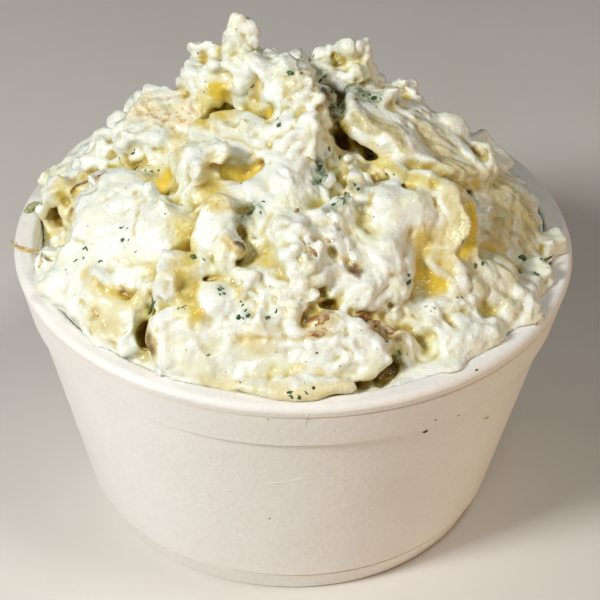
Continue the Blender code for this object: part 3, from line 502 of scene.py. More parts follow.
# Creases that run into the dressing, which also get painted shade along them
CREASES = [
    ([(66, 197), (78, 193), (90, 186)], 0.7, 1.4), ([(60, 240), (76, 240), (92, 245)], 0.5, 1),
    ([(136, 192), (137, 212), (134, 234)], 1, 1), ([(196, 212), (210, 206), (224, 208)], 0.7, 1.2),
    ([(200, 282), (218, 277), (238, 284)], 0.7, 1.2), ([(196, 300), (200, 316), (212, 322)], 0.8, 1.3),
    ([(176, 262), (168, 284), (160, 304)], 0.7, 1), ([(158, 330), (158, 350), (166, 378)], 0.7, 1.2),
    ([(222, 238), (236, 252), (258, 256)], 0.7, 1.2), ([(258, 78), (256, 96), (262, 110)], 0.9, 1),
    ([(228, 74), (234, 92), (246, 112)], 0.8, 0.9), ([(284, 82), (290, 98)], 0.8, 1),
    ([(302, 108), (296, 122), (284, 132)], 0.7, 0.8), ([(322, 110), (328, 132), (330, 160)], 1, 1.2),
    ([(204, 122), (222, 138), (240, 142), (262, 150)], 0.8, 1.1),
    ([(206, 168), (226, 166), (262, 164)], 0.8, 1.1), ([(226, 206), (242, 212), (262, 206)], 0.8, 1),
    ([(270, 214), (262, 232), (266, 250)], 0.9, 1.2),
    ([(300, 228), (306, 252), (318, 276), (322, 296)], 0.7, 1.1),
    ([(332, 252), (346, 262), (360, 270)], 1, 1.2), ([(372, 196), (366, 212), (352, 230)], 0.9, 1),
    ([(368, 290), (390, 306), (412, 318)], 0.7, 1), ([(434, 200), (446, 226), (440, 256)], 0.7, 1.1),
    ([(412, 232), (404, 258), (408, 290)], 0.7, 1), ([(470, 200), (474, 232), (466, 262)], 0.8, 1.3),
    ([(492, 170), (488, 210), (492, 252)], 0.6, 0.8), ([(512, 180), (514, 214), (508, 248)], 0.6, 0.8),
    ([(434, 120), (448, 142), (470, 160)], 0.8, 1), ([(408, 116), (426, 142), (452, 166)], 0.6, 0.8),
    ([(352, 112), (376, 118), (404, 136)], 0.6, 0.7), ([(462, 136), (474, 150), (486, 162)], 0.9, 1.2),
    ([(240, 336), (290, 340), (340, 334)], 0.9, 1), ([(306, 322), (318, 314), (328, 306)], 0.8, 1.3),
    ([(352, 318), (374, 326), (398, 340)], 0.8, 1.2), ([(94, 278), (108, 288), (130, 296)], 0.8, 1.2),
    ([(82, 300), (96, 312), (90, 330)], 0.8, 0.9), ([(140, 310), (148, 328), (150, 350)], 0.8, 1.2),
    ([(114, 260), (130, 268), (150, 262)], 0.9, 0.8), ([(184, 44), (200, 56), (214, 60)], 0.8, 0.9),
    ([(244, 38), (250, 50)], 0.8, 1), ([(132, 96), (150, 100), (190, 96)], 0.7, 0.7),
    ([(112, 166), (146, 170), (176, 160)], 0.9, 0.9), ([(320, 60), (336, 56), (348, 62)], 0.8, 0.9),
    ([(376, 92), (400, 104), (430, 118)], 0.8, 0.9), ([(448, 318), (456, 328), (446, 342)], 0.7, 0.8),
    ([(470, 290), (490, 310), (484, 326)], 0.7, 0.7),
]
# Here the dressing is lumpier, smoother, or runs in strands
LUMPY = [
    ([(150, 106), (180, 116)], 6, 0.6), ([(196, 56), (216, 60), (232, 66)], 5, 0.6),
    ([(262, 64), (282, 68), (300, 76)], 5, 0.6), ([(110, 146), (140, 142), (168, 146)], 4.5, 0.5),
    ([(520, 180), (540, 240)], 5, 0.6), ([(294, 244), (304, 266)], 4, 0.6),
    ([(230, 260), (246, 290)], 4, 0.4), ([(340, 50), (356, 72)], 5, 0.9), ([(390, 84), (410, 100)], 6, 0.9),
    ([(292, 78), (300, 60)], 4, 0.5), ([(300, 128)], 4, 0.5), ([(330, 180), (350, 190)], 5, 0.6),
    ([(280, 300), (300, 320)], 6, 0.4), ([(470, 300), (440, 310)], 8, 0.5), ([(540, 280)], 6, 0.5),
    ([(350, 330), (380, 340)], 5, 0.5),
]
CALM = [
    ([(100, 230), (120, 250), (90, 256)], 9, 1), ([(270, 180), (290, 200)], 6, 0.5),
    ([(400, 200), (390, 240)], 6, 1), ([(456, 226), (426, 262)], 6, 1), ([(212, 290)], 4.5, 1),
    ([(180, 344)], 5, 0.6), ([(210, 250)], 4, 0.7), ([(440, 130)], 4, 0.9), ([(240, 196)], 3, 1),
    ([(470, 336)], 5, 0.8), ([(240, 34)], 4, 0.6), ([(206, 386), (250, 394), (300, 398), (340, 391)], 3, 1),
    ([(496, 150), (512, 170), (526, 190)], 5, 1),
]
STREAKS = [
    ([(496, 180), (516, 220), (520, 250), (490, 290)], 7, 1.2), ([(440, 140), (462, 170)], 5, 0.8),
    ([(310, 250), (314, 280)], 3, 0.8), ([(240, 250)], 4, 0.6), ([(120, 190), (90, 200)], 5, 0.4),
    ([(330, 100), (336, 120)], 3, 0.6),
]
ALL_STROKES = (
    BARE, CREAM, CARVE, FILL, CRUMB, TAN_AND_SHADE, AMBER_AND_SHADE, BROWN_AND_SHADE, GREEN, KNOBS, CREASES, LUMPY, CALM, STREAKS
)
# Strokes that colour the heap. Along the creases they paint shade; the yellow, browned and dull faces are
# partly painted shade.
COLOURED = {
    "crumb": CRUMB, "tan": TAN_AND_SHADE, "amber": AMBER_AND_SHADE, "brown": BROWN_AND_SHADE, "green": GREEN, "crease": CREASES,
    "streak": STREAKS,
}

# Small pieces by pixel: where each starts and ends and its width, or the pixels of a line
CUP_SPECKS = [
    ((422, 432), (428, 431), 0.8), ((434, 421), (437, 419), 0.35), ((457, 416), (460, 415), 0.3),
    ((475, 371), (478, 369), 0.45), ((268, 518), (271, 519), 0.4), ((267, 419), (269, 420), 0.3),
]
CUP_CRUMBS = [((483, 419), (489, 417), 0.8), ((444, 537), (449, 533), 0.7)]
SCRATCHES = [
    [(173, 498), (202, 496), (232, 491)], [(240, 488), (272, 483), (300, 479), (331, 475)],
    [(306, 474), (333, 472)], [(325, 481), (350, 480)], [(309, 404), (307, 414), (306, 426)],
]
BEAD = ((27, 212), (40, 205), 2.6)
HERBS = [
    ((286, 71), (295, 74), 1.2), ((289, 76), (293, 70), 0.8), ((130, 154), (136, 152), 0.6),
    ((129, 170), (142, 167), 0.3),
    ((246, 215), (253, 210), 0.9), ((254, 209), (261, 211), 0.8), ((261, 201), (265, 202), 0.5),
    ((190, 258), (199, 255), 1.3), ((180, 262), (188, 256), 0.35), ((219, 287), (224, 290), 1.1),
    ((220, 297), (225, 293), 0.9), ((315, 169), (322, 166), 1.3), ((316, 184), (321, 179), 1.3),
    ((325, 176), (329, 173), 0.8), ((343, 196), (347, 194), 0.8), ((356, 190), (360, 188), 0.9),
    ((330, 206), (336, 203), 0.6), ((338, 204), (346, 198), 0.5), ((367, 159), (374, 156), 0.9),
    ((362, 155), (366, 152), 0.7), ((386, 174), (391, 172), 0.6), ((149, 311), (155, 302), 0.8),
    ((177, 310), (180, 307), 0.5), ((183, 307), (187, 305), 0.5), ((236, 320), (242, 314), 1.0),
    ((244, 318), (250, 314), 0.9), ((264, 320), (270, 315), 0.8), ((137, 332), (140, 330), 0.6),
    ((118, 229), (124, 226), 0.8), ((120, 242), (125, 238), 0.9), ((147, 178), (152, 170), 1.1),
    ((286, 393), (298, 397), 1.4), ((297, 400), (308, 393), 1.7), ((384, 80), (388, 78), 0.7),
    ((518, 255), (527, 260), 1.1), ((406, 286), (411, 279), 1.0), ((473, 264), (478, 268), 1.0),
    ((312, 44), (325, 42), 1.3), ((324, 45), (336, 47), 1.1), ((310, 48), (316, 51), 0.9),
    ((321, 88), (328, 92), 1.0), ((326, 96), (332, 91), 0.9), ((333, 118), (339, 113), 0.8),
    ((329, 103), (334, 108), 0.9), ((318, 82), (323, 79), 0.7), ((360, 97), (368, 93), 0.7),
    ((370, 99), (378, 96), 0.8), ((352, 98), (358, 100), 0.5), ((275, 127), (283, 123), 0.9),
    ((82, 250), (87, 246), 0.4), ((542, 262), (547, 259), 0.8),
    ((553, 274), (557, 270), 0.8), ((534, 272), (538, 276), 0.7), ((240, 307), (244, 304), 0.5),
    ((398, 349), (401, 356), 0.6), ((394, 364), (397, 369), 0.5), ((376, 349), (381, 346), 0.6),
    ((250, 88), (254, 86), 0.4), ((338, 158), (342, 155), 0.6), ((327, 150), (330, 146), 0.5),
    ((100, 262), (104, 260), 0.4), ((73, 262), (78, 259), 0.5), ((424, 308), (428, 305), 0.5),
    ((455, 300), (458, 297), 0.4), ((206, 356), (210, 354), 0.35), ((312, 352), (316, 350), 0.4),
]
BROWN_BITS = [
    ((292, 214), (300, 209), 1.4), ((326, 243), (341, 234), 2.4), ((303, 238), (312, 254), 1.6),
    ((310, 326), (320, 314), 2.4), ((322, 318), (332, 312), 2.0), ((308, 334), (330, 331), 2.2),
    ((354, 314), (372, 316), 2.4), ((368, 324), (380, 320), 1.8), ((380, 328), (394, 334), 2.2),
    ((392, 332), (404, 342), 1.8), ((94, 180), (105, 171), 2.0), ((147, 334), (155, 350), 1.6),
    ((120, 286), (132, 296), 1.4), ((134, 252), (139, 249), 0.8), ((200, 45), (212, 44), 1.0),
    ((530, 214), (536, 226), 1.4), ((72, 192), (84, 187), 1.2),
]
PEPPER = [
    (272, 74), (225, 25), (236, 29), (306, 64), (347, 44), (361, 60), (238, 196), (236, 335), (361, 330),
    (147, 348), (343, 119), (367, 116), (376, 107), (397, 139), (418, 161), (223, 143), (201, 152),
    (181, 176), (165, 214), (182, 205), (219, 201), (222, 200), (264, 202), (369, 215), (374, 217),
    (392, 234), (412, 240), (476, 268), (488, 284), (460, 299), (431, 311), (414, 296), (389, 268),
    (350, 250), (330, 290), (301, 300), (270, 286), (256, 268), (140, 332), (120, 310), (98, 316),
    (75, 295), (66, 270), (88, 226), (108, 206), (126, 188), (110, 160), (120, 158), (96, 158), (204, 92),
    (178, 96), (148, 98), (400, 84), (422, 110), (436, 128), (452, 146), (506, 200), (516, 236), (540, 250),
    (548, 268), (528, 292), (500, 300), (250, 360), (276, 352), (306, 362), (226, 372), (186, 350),
    (204, 384), (340, 366), (366, 350),
]
STRAW = [
    [(11, 240), (15, 247), (24, 250), (33, 252), (42, 254)],
    [(15, 245), (25, 248), (39, 251)],
    [(42, 254), (42, 262), (38, 269)],
]
SPRINKLED_PEPPER = 30
SPRINKLED_HERBS = 12
SPRINKLE_SEED = 12
HERB_THICKNESS = 0.16
STRAW_RADIUS = 0.34
SCRATCH_RADIUS = 0.2
SPECK_THICKNESS = 0.2
CRUMB_THICKNESS = 0.4
LONGEST_SHARD = 6
LONGEST_LUMP = 7

# A pepper grain, and what a face needs to carry sprinkled pieces: how far it looks up, and its square metres
GRAIN = [(1, 0, 0), (0, 1, 0), (-1, 0, 0), (0, -1, 0), (0, 0, 1), (0, 0, -1)]
GRAIN_FACES = [(0, 1, 4), (1, 2, 4), (2, 3, 4), (3, 0, 4), (1, 0, 5), (2, 1, 5), (3, 2, 5), (0, 3, 5)]
GRAIN_SIZES = (0.08, 0.19)
LOOKING_UP = 0.15
BIG_FACE = 4e-7


# Noise and grids

def lattice(shape, seed):
    return np.random.default_rng(seed).uniform(-1, 1, shape).astype(np.float32)


def eased(t):
    return t * t * (3 - 2 * t)


def blended(grid, cells, t):
    """The grid's values at the shares t between the corners of the cells. The grid repeats past its end."""
    out = np.zeros(len(cells), np.float32)
    for corner in CORNERS:
        weight = np.ones(len(cells), np.float32)
        for axis, far in enumerate(corner):
            weight *= t[:, axis] if far else 1 - t[:, axis]
        out += grid[tuple(((cells + corner) % grid.shape).T)] * weight
    return out


def noise(points, size, seed):
    """Smooth noise from -1 to 1 at points (n, 3), with features about size across."""
    q = points @ LATTICE_TURN / size + LATTICE_START
    cells = np.floor(q).astype(np.int64)
    return blended(lattice((LATTICE_CELLS,) * 3, seed), cells, eased((q - cells).astype(np.float32)))


def shifted(points, size, amount, seed):
    return points + np.stack([noise(points, size, seed + k) for k in range(3)], 1) * amount


def bumps(points, size, seed, share, power):
    """Round bumps about size across at uneven places: 1 at a bump's middle and 0 past its edge."""
    q = points / size + BUMP_START
    base = np.floor(q).astype(np.int64)
    draw = np.random.default_rng(seed)
    middle = draw.uniform(0, 1, (BUMP_CELLS, BUMP_CELLS, BUMP_CELLS, 3)).astype(np.float32)
    radius = draw.uniform(*BUMP_RADII, (BUMP_CELLS,) * 3).astype(np.float32)
    radius[draw.uniform(0, 1, radius.shape) > share] = NO_BUMP
    best = np.full(len(points), FAR, np.float32)
    for step in NEIGHBOURS:
        cell = base + step
        within = tuple((cell % BUMP_CELLS).T)
        best = np.minimum(best, np.linalg.norm(q - cell - middle[within], axis=1) / radius[within])
    return np.maximum(0, 1 - best ** 2) ** power


class Field:
    """Distances to a surface, negative inside it, on a regular grid."""

    def __init__(self):
        self.low = np.array(GRID_LOW, float)
        self.count = np.round((np.array(GRID_HIGH) - self.low) / GRID_STEP).astype(int) + 1
        self.axes = [self.low[i] + GRID_STEP * np.arange(self.count[i]) for i in range(3)]
        self.shift = np.stack([self.uneven(*((s, seed + k, a) for s, seed, a in WARP)) for k in range(3)], -1)
        self.f = None

    def uneven(self, *layers):
        """Noise on the whole grid, from layers of size, seed and amount."""
        return sum(self.noise(size, seed) * amount for size, seed, amount in layers)

    def noise(self, size, seed):
        out = lattice(tuple(math.ceil(len(a) * GRID_STEP / size) + 3 for a in self.axes), seed)
        for axis, places in enumerate(self.axes):
            u = (places - places[0]) / size
            i = np.floor(u).astype(int)
            shape = [1, 1, 1]
            shape[axis] = len(places)
            t = eased((u - i).astype(np.float32)).reshape(shape)
            out = np.take(out, i, axis=axis) * (1 - t) + np.take(out, i + 1, axis=axis) * t
        return out

    def window(self, centre, reach):
        first = np.floor((np.array(centre) - reach - self.low) / GRID_STEP).astype(int)
        last = np.ceil((np.array(centre) + reach - self.low) / GRID_STEP).astype(int) + 1
        first, last = np.maximum(first, 0), np.minimum(last, self.count)
        return tuple(slice(int(a), int(max(a, b))) for a, b in zip(first, last))

    def local(self, window, centre, axes=np.eye(3)):
        """The window's points in a piece's own axes."""
        x, y, z = (self.axes[i][window[i]] - centre[i] for i in range(3))
        points = np.stack(np.meshgrid(x, y, z, indexing="ij"), -1).astype(np.float32)
        return (points + self.shift[window]) @ axes.astype(np.float32)

    def piece(self, form, place, half, turn, margin, film=0):
        """The window round one of the pieces, and the distances to it there."""
        centre = on_heap(place)
        window = self.window(centre, max(half) * 1.5 + margin)
        size = [h + film for h in half]
        return window, DISTANCE[form](self.local(window, centre, turning(*turn)), size)

    def add(self, window, distance, join):
        old = self.f[window]
        near = np.maximum(join - np.abs(old - distance), 0) / join
        self.f[window] = np.minimum(old, distance) - near ** 2 * join * 0.25

    def cut(self, window, distance, join):
        old = self.f[window]
        near = np.maximum(join - np.abs(old + distance), 0) / join
        self.f[window] = np.maximum(old, -distance) + near ** 2 * join * 0.25


def blur(grid, cells):
    """Two box blurs along each axis, of the given half width in cells."""
    width = 2 * cells + 1
    for axis in (0, 0, 1, 1, 2, 2):
        pad = [(0, 0)] * 3
        pad[axis] = (cells + 1, cells)
        total = np.cumsum(np.pad(grid, pad, mode="edge"), axis=axis, dtype=np.float32)
        high, low = [slice(None)] * 3, [slice(None)] * 3
        high[axis] = slice(width, width + grid.shape[axis])
        low[axis] = slice(0, grid.shape[axis])
        grid = (total[tuple(high)] - total[tuple(low)]) / width
    return grid


def read(grid, low, points):
    """The grid's values at points, by linear interpolation."""
    q = np.clip((points - low) / GRID_STEP, 0, np.array(grid.shape) - 1.001)
    cells = np.floor(q).astype(int)
    return blended(grid, cells, (q - cells).astype(np.float32))


def surface_of(field, low):
    """The zero surface in quads: a point in each cell that it crosses, joined round each crossed edge."""
    inside = field < 0
    cells = np.array(field.shape) - 1
    ids, points, quads = [], [], []
    for axis in range(3):
        near, far = [slice(None)] * 3, [slice(None)] * 3
        near[axis], far[axis] = slice(0, -1), slice(1, None)
        at = np.argwhere(inside[tuple(near)] != inside[tuple(far)])
        u, v = (axis + 1) % 3, (axis + 2) % 3
        at = at[(at[:, u] > 0) & (at[:, v] > 0) & (at[:, u] < cells[u]) & (at[:, v] < cells[v])]
        a = field[tuple(at.T)]
        b = field[tuple((at + np.eye(3, dtype=int)[axis]).T)]
        crossing = at.astype(float)
        crossing[:, axis] += a / (a - b)
        corners = []
        for du, dv in ((-1, -1), (0, -1), (0, 0), (-1, 0)):
            c = at.copy()
            c[:, u] += du
            c[:, v] += dv
            corners.append((c[:, 0] * cells[1] + c[:, 1]) * cells[2] + c[:, 2])
            ids.append(corners[-1])
            points.append(crossing)
        quad = np.stack(corners, 1)
        leaving = a >= 0
        quad[leaving] = quad[leaving][:, ::-1]
        quads.append(quad)
    ids, points = np.concatenate(ids), np.concatenate(points)
    used, index = np.unique(ids, return_inverse=True)
    count = np.bincount(index)
    verts = np.stack([np.bincount(index, points[:, k]) / count for k in range(3)], 1)
    return low + GRID_STEP * verts, np.searchsorted(used, np.concatenate(quads))


def normals_of(verts, quads):
    across = np.cross(verts[quads[:, 2]] - verts[quads[:, 0]], verts[quads[:, 3]] - verts[quads[:, 1]])
    normals = np.zeros_like(verts)
    for k in range(4):
        np.add.at(normals, quads[:, k], across)
    return normals / np.maximum(np.linalg.norm(normals, axis=1, keepdims=True), 1e-9)


# Forms of the pieces

def turning(turn=(0, 0, 0)):
    side, tip, spin = turn
    matrix = (
        Matrix.Rotation(math.radians(side), 3, "Z")
        @ Matrix.Rotation(math.radians(tip), 3, "X")
        @ Matrix.Rotation(math.radians(spin), 3, "Z")
    )
    return np.array(matrix, float)


def ellipsoid(p, half):
    half = np.array(half, np.float32)
    near = np.linalg.norm(p / half, axis=-1)
    return near * (near - 1) / np.maximum(np.linalg.norm(p / half ** 2, axis=-1), 1e-6)


def stalk(p, half):
    along = np.clip(p[..., 2], half[0] - half[2], half[2] - half[0])
    q = p.copy()
    q[..., 2] -= along
    return np.linalg.norm(q, axis=-1) - half[0]


def block(p, half):
    rounding = 0.3 * min(half)
    q = np.abs(p) - (np.array(half, np.float32) - rounding)
    return np.linalg.norm(np.maximum(q, 0), axis=-1) + np.minimum(q.max(-1), 0) - rounding


def slice_of(p, half):
    rounding = 0.4 * half[2]
    rim = ellipsoid(p[..., :2], np.array(half[:2]) - rounding)
    side = np.abs(p[..., 2]) - (half[2] - rounding)
    return np.hypot(np.maximum(rim, 0), np.maximum(side, 0)) + np.minimum(np.maximum(rim, side), 0) - rounding


DISTANCE = {LUMP: ellipsoid, STALK: stalk, BLOCK: block, SLICE: slice_of}


def heap_height(x, y):
    off = ((x - HEAP_CENTRE[0]) ** 2 + (y - HEAP_CENTRE[1]) ** 2) / HEAP_RADIUS ** 2
    return HEAP_BASE + HEAP_RISE * np.maximum(0, 1 - off) ** HEAP_FULLNESS


def on_heap(place):
    x, y, lift = place
    return (x, y, float(heap_height(x, y)) + lift)


def scattered_chunks():
    """The part's chunks: spread evenly by the golden angle, kept where no listed piece is placed."""
    draw = random.Random(CHUNK_SEED)
    chunks = []
    for i in range(CHUNKS):
        reach = CHUNK_REACH * math.sqrt((i + 0.5) / CHUNKS)
        angle = i * GOLDEN_ANGLE + draw.uniform(-0.2, 0.2)
        x = HEAP_CENTRE[0] + reach * math.cos(angle)
        y = HEAP_CENTRE[1] + reach * math.sin(angle)
        pull = min(1, CHUNK_LIMIT / math.hypot(x, y))
        x, y = x * pull, y * pull
        form = draw.choice((LUMP, BLOCK, BLOCK, SLICE))
        size = draw.uniform(*CHUNK_SIZES)
        thickness = 0.45 if form == SLICE else 0.8
        half = (size * draw.uniform(0.8, 1.25), size * draw.uniform(0.8, 1.2), size * thickness)
        lift = -size * draw.uniform(*CHUNK_SINK)
        turn = (draw.uniform(-180, 180), draw.uniform(10, 60), draw.uniform(0, 180))
        if y > HAND_PLACED_BACK or math.hypot(x, y) > HAND_PLACED_REACH:
            chunks.append((f"chunk_{i}", form, (x, y, lift), half, turn))
    return chunks


# Camera, and the pixels cast from it

def camera_axes():
    """The camera's place in millimetres, and its rotation."""
    lift = math.radians(CAMERA_ELEVATION)
    place = Vector((0, -math.cos(lift), math.sin(lift))) * CAMERA_DISTANCE + Vector((0, 0, CUP_HEIGHT))
    ahead = (Vector(CAMERA_AIM) - place).normalized()
    roll = Quaternion(ahead, math.radians(CAMERA_ROLL))
    return place, roll @ ahead.to_track_quat("-Z", "Y")


def pixel_rays(pixels):
    place, rotation = camera_axes()
    half = PHOTO_SIZE / 2
    rays = []
    for x, y in pixels:
        ray = rotation @ Vector(((x - half) / FOCAL_PIXELS, (half - y) / FOCAL_PIXELS, -1))
        rays.append(ray.normalized())
    return np.array(place), np.array(rays)


def cast(grid, low, pixels):
    """Where the pixels' rays meet the grid's surface, by pixel."""
    start, rays = pixel_rays(pixels)
    steps = np.arange(*RAY_STEPS)
    points = start + rays[:, None, :] * steps[None, :, None]
    values = read(grid, low, points.reshape(-1, 3)).reshape(len(rays), len(steps))
    inside_box = (points[..., 2] > GRID_LOW[2] + 1) & (np.hypot(points[..., 0], points[..., 1]) < RIM_RADIUS)
    first = np.argmax((values < 0) & inside_box, axis=1)
    return dict(zip(pixels, points[np.arange(len(rays)), first]))


def stretches(path):
    """The path's straight stretches, or its only point as both ends of one."""
    return list(zip(path[:-1], path[1:])) or [(path[0], path[0])]


def painted(points, strokes, places):
    """How strongly the strokes reach each point."""
    total = np.zeros(len(points), np.float32)
    points = points.astype(np.float32)
    for pixels, radius, strength in strokes:
        path = np.array([places[pixel] for pixel in pixels], np.float32)
        low, high = path.min(0) - STROKE_REACH * radius, path.max(0) + STROKE_REACH * radius
        reached = np.flatnonzero(((points > low) & (points < high)).all(1))
        p = points[reached]
        away = np.full(len(p), 1e9, np.float32)
        for a, b in stretches(path):
            along = b - a
            t = np.clip((p - a) @ along / max(float(along @ along), 1e-6), 0, 1)
            away = np.minimum(away, ((p - a - t[:, None] * along) ** 2).sum(1))
        total[reached] = np.maximum(total[reached], strength * np.exp(-away / radius ** 2))
    return total


def bareness(points, places):
    return painted(points, BARE, places) / FULLY_BARE - painted(points, CREAM, places)


# Heap

def potato_field():
    """Core and pieces, with no dressing."""
    field = Field()
    x, y = np.meshgrid(field.axes[0], field.axes[1], indexing="ij")
    reach = np.hypot(x, y)
    front = np.clip((-y - FRONT_START) / FRONT_FADE, 0, 1)
    fall = CORE_FALL * (1 - 0.7 * front) * np.maximum(0, reach - CORE_REACH)
    rise = FRONT_RISE * front * np.clip((reach - FRONT_RISE_START) / FRONT_RISE_FADE, 0, 1)
    top = heap_height(x, y) - CORE_SINK - fall + rise
    field.f = ((field.axes[2][None, None, :] - top[:, :, None]) * 0.75).astype(np.float32)
    field.f += field.uneven(*CORE_NOISE)
    for _, form, place, half, *turn in PIECES + scattered_chunks():
        window, distance = field.piece(form, place, half, turn, margin=4)
        field.add(window, distance, JOIN[form])
    uneven = field.uneven(HOLLOW_NOISE)
    for _, place, half in HOLLOWS:
        centre = on_heap(place)
        window = field.window(centre, max(half) + 3)
        field.cut(window, ellipsoid(field.local(window, centre), half) + uneven[window], HOLLOW_JOIN)
    return field


def under_dressing(field, smooth, places):
    """The potato under its dressing, which strokes make thinner or thicker."""
    band = np.flatnonzero(np.abs(smooth.ravel() - DRESSING) < DRESSING_BAND)
    points = np.stack(np.meshgrid(*field.axes, indexing="ij"), -1).reshape(-1, 3)[band].astype(np.float32)
    sunk = painted(points, BARE, places) * BARE_SINK + painted(points, CREASES, places) * CREASE_SINK
    thickness = np.full(smooth.size, DRESSING, np.float32)
    thickness[band] += painted(points, CREAM, places) + painted(points, FILL, places) - sunk
    thickness = thickness.reshape(smooth.shape)
    thickness += field.uneven(*DRESSING_NOISE)
    lowered = np.zeros(smooth.size, np.float32)
    lowered[band] = sunk
    return np.minimum(field.f + lowered.reshape(smooth.shape), smooth - thickness)


def add_knobs(field, places):
    """Joins the round knobs on."""
    for pixels, radius in KNOBS:
        for pixel in pixels:
            window = field.window(places[pixel], radius + 2)
            away = np.linalg.norm(field.local(window, places[pixel]), axis=-1)
            field.add(window, away - radius, KNOB_JOIN)


def add_slices(field):
    """Joins on the pieces whose cut edges still show, and gives the distance to them alone."""
    alone = np.full(field.f.shape, FAR, np.float32)
    for name, form, place, half, *turn in PIECES:
        if name in FILMS:
            window, distance = field.piece(form, place, half, turn, margin=3, film=FILMS[name])
            field.add(window, distance, SLICE_JOIN)
            alone[window] = np.minimum(alone[window], distance)
    return alone


def carve(field, places):
    """Cuts hollows along strokes, as deep into the heap as each one says, seen from the camera."""
    uneven = field.uneven(*CARVE_NOISE)
    start = np.array(camera_axes()[0])
    for pixels, radius, depth in CARVE:
        path = np.array([places[pixel] for pixel in pixels])
        ahead = path - start
        path = path + ahead / np.linalg.norm(ahead, axis=1, keepdims=True) * (depth - radius)
        for a, b in stretches(path):
            middle = (a + b) / 2
            window = field.window(middle, np.linalg.norm(b - a) / 2 + radius + 2)
            p = field.local(window, middle)
            along = (b - a).astype(np.float32)
            t = np.clip(p @ along / max(float(along @ along), 1e-6), -0.5, 0.5)
            away = np.linalg.norm(p - t[..., None] * along, axis=-1) + uneven[window] * min(1, radius / 2)
            field.cut(window, away - radius, CARVE_JOIN)


def inner_radius(z):
    share = (z - FLOOR_HEIGHT) / (CUP_HEIGHT - FLOOR_HEIGHT)
    return INNER_FOOT_RADIUS + share * (LIP_INNER - INNER_FOOT_RADIUS)


def kept_in_the_cup(field):
    """The heap cut back to the cup's inner wall and rounded lip, and to the lip's outer edge above it."""
    x, y = np.meshgrid(field.axes[0], field.axes[1], indexing="ij")
    reach = np.hypot(x, y)[:, :, None]
    z = field.axes[2][None, None, :]
    aside = np.maximum(np.maximum(LIP_INNER + LIP_ROUNDING - reach, reach - (RIM_RADIUS - LIP_ROUNDING)), 0)
    lip = LIP_ROUNDING - np.hypot(aside, np.maximum(z - LIP_MIDDLE, 0))
    wall = np.where(z > LIP_MIDDLE, lip, reach - inner_radius(z))
    outside = np.maximum(wall + WALL_GAP, reach - LIP_REACH)
    return np.maximum(field.f, outside).astype(np.float32)


def strands_at(points):
    """Noise from -1 to 1 in thin strands that run up the heap's flank."""
    round_way = np.arctan2(points[:, 1], points[:, 0]) * STRAND_REACH / STRAND_WIDTH
    height = points[:, 2] / STRAND_LENGTH
    inward = np.hypot(points[:, 0], points[:, 1]) / STRAND_LENGTH
    return noise(shifted(np.stack([round_way, inward, height], 1), 3, 0.6, 90).astype(np.float32), 1, 45)


def relief_at(points, on_slice, places):
    """How far the curds, billows, folds, strands and pits move each point out, in millimetres."""
    lumpy = np.clip(0.32 + 0.55 * noise(points, 9, 60) + painted(points, LUMPY, places), 0, 1.2)
    calm = 1 - np.clip(painted(points, CALM, places), 0, 1)
    streaky = np.clip(painted(points, STREAKS, places), 0, 1)
    bare = np.clip(bareness(points, places), 0, 1)
    crumb = np.clip(painted(points, CRUMB, places), 0, 1)
    soft = shifted(points, 3.2, 1.1, 70)
    curds = sum(bumps(soft, *form) * height for *form, height in CURDS)
    billows = np.abs(noise(soft, 3.4, 43)) ** 0.8 * 1.3 + np.abs(noise(soft, 1.7, 48)) * 0.5
    folds = (1 - np.abs(noise(shifted(points, 5, 2.0, 80), 5.5, 44))) ** 4 * 0.7
    dressing = curds * lumpy * 1.15 + billows * (0.45 + 0.7 * lumpy) + folds * (1.3 - 0.8 * lumpy)
    pits = sum(bumps(points, *form) * height for *form, height in PITS)
    strength = 0.25 + 0.75 * (calm * (1 - 0.75 * on_slice) * (1 - 0.6 * streaky))
    relief = (dressing * strength - RELIEF_LEVEL * strength) * (1 - 0.8 * bare) * (1 - crumb)
    relief += strands_at(points) * streaky * STRAND_HEIGHT - pits * crumb * PIT_DEPTH
    relief += painted(points, CREAM, places) * on_slice * SLICE_CREAM
    edge = np.clip((inner_radius(points[:, 2]) - np.hypot(points[:, 0], points[:, 1])) / EDGE_FADE, 0, 1)
    return relief * np.where(points[:, 2] > CUP_HEIGHT + OVER_THE_LIP, 1, edge)


def heap_surface():
    """The heap's points and quads, and a function for the values that colour it at given points."""
    field = potato_field()
    low = field.low
    pixels = sorted({pixel for strokes in ALL_STROKES for stroke in strokes for pixel in stroke[0]})
    smooth = blur(np.clip(field.f, -DEEPEST, DEEPEST), 1)
    places = cast(smooth - DRESSING, low, pixels)
    field.f = under_dressing(field, smooth, places)
    add_knobs(field, places)
    slices = add_slices(field)
    carve(field, places)
    heap = kept_in_the_cup(field)
    places = cast(heap, low, pixels)

    verts, quads = surface_of(heap, low)
    on_slice = np.clip(1 - np.abs(read(slices, low, verts)) / SLICE_EDGE, 0, 1)
    relief = relief_at(verts.astype(np.float32), on_slice, places)
    verts = verts + normals_of(verts, quads) * relief[:, None]
    wide_fill = blur((heap < 0).astype(np.float32), WIDE_CELLS)

    def values_at(verts, normals):
        points = shifted(verts.astype(np.float32), 2.6, 0.8, 95)
        values = {name: painted(points, strokes, places) for name, strokes in COLOURED.items()}
        # How enclosed the heap is round the point, which the material turns into painted shade
        values["wide"] = read(wide_fill, low, verts + normals * WIDE_LIFT)
        values["bare"] = bareness(points, places)
        values["streak"] = values["streak"] * np.clip(strands_at(points) * 1.6 + 0.3, 0, 1)
        return values

    return verts, quads, values_at


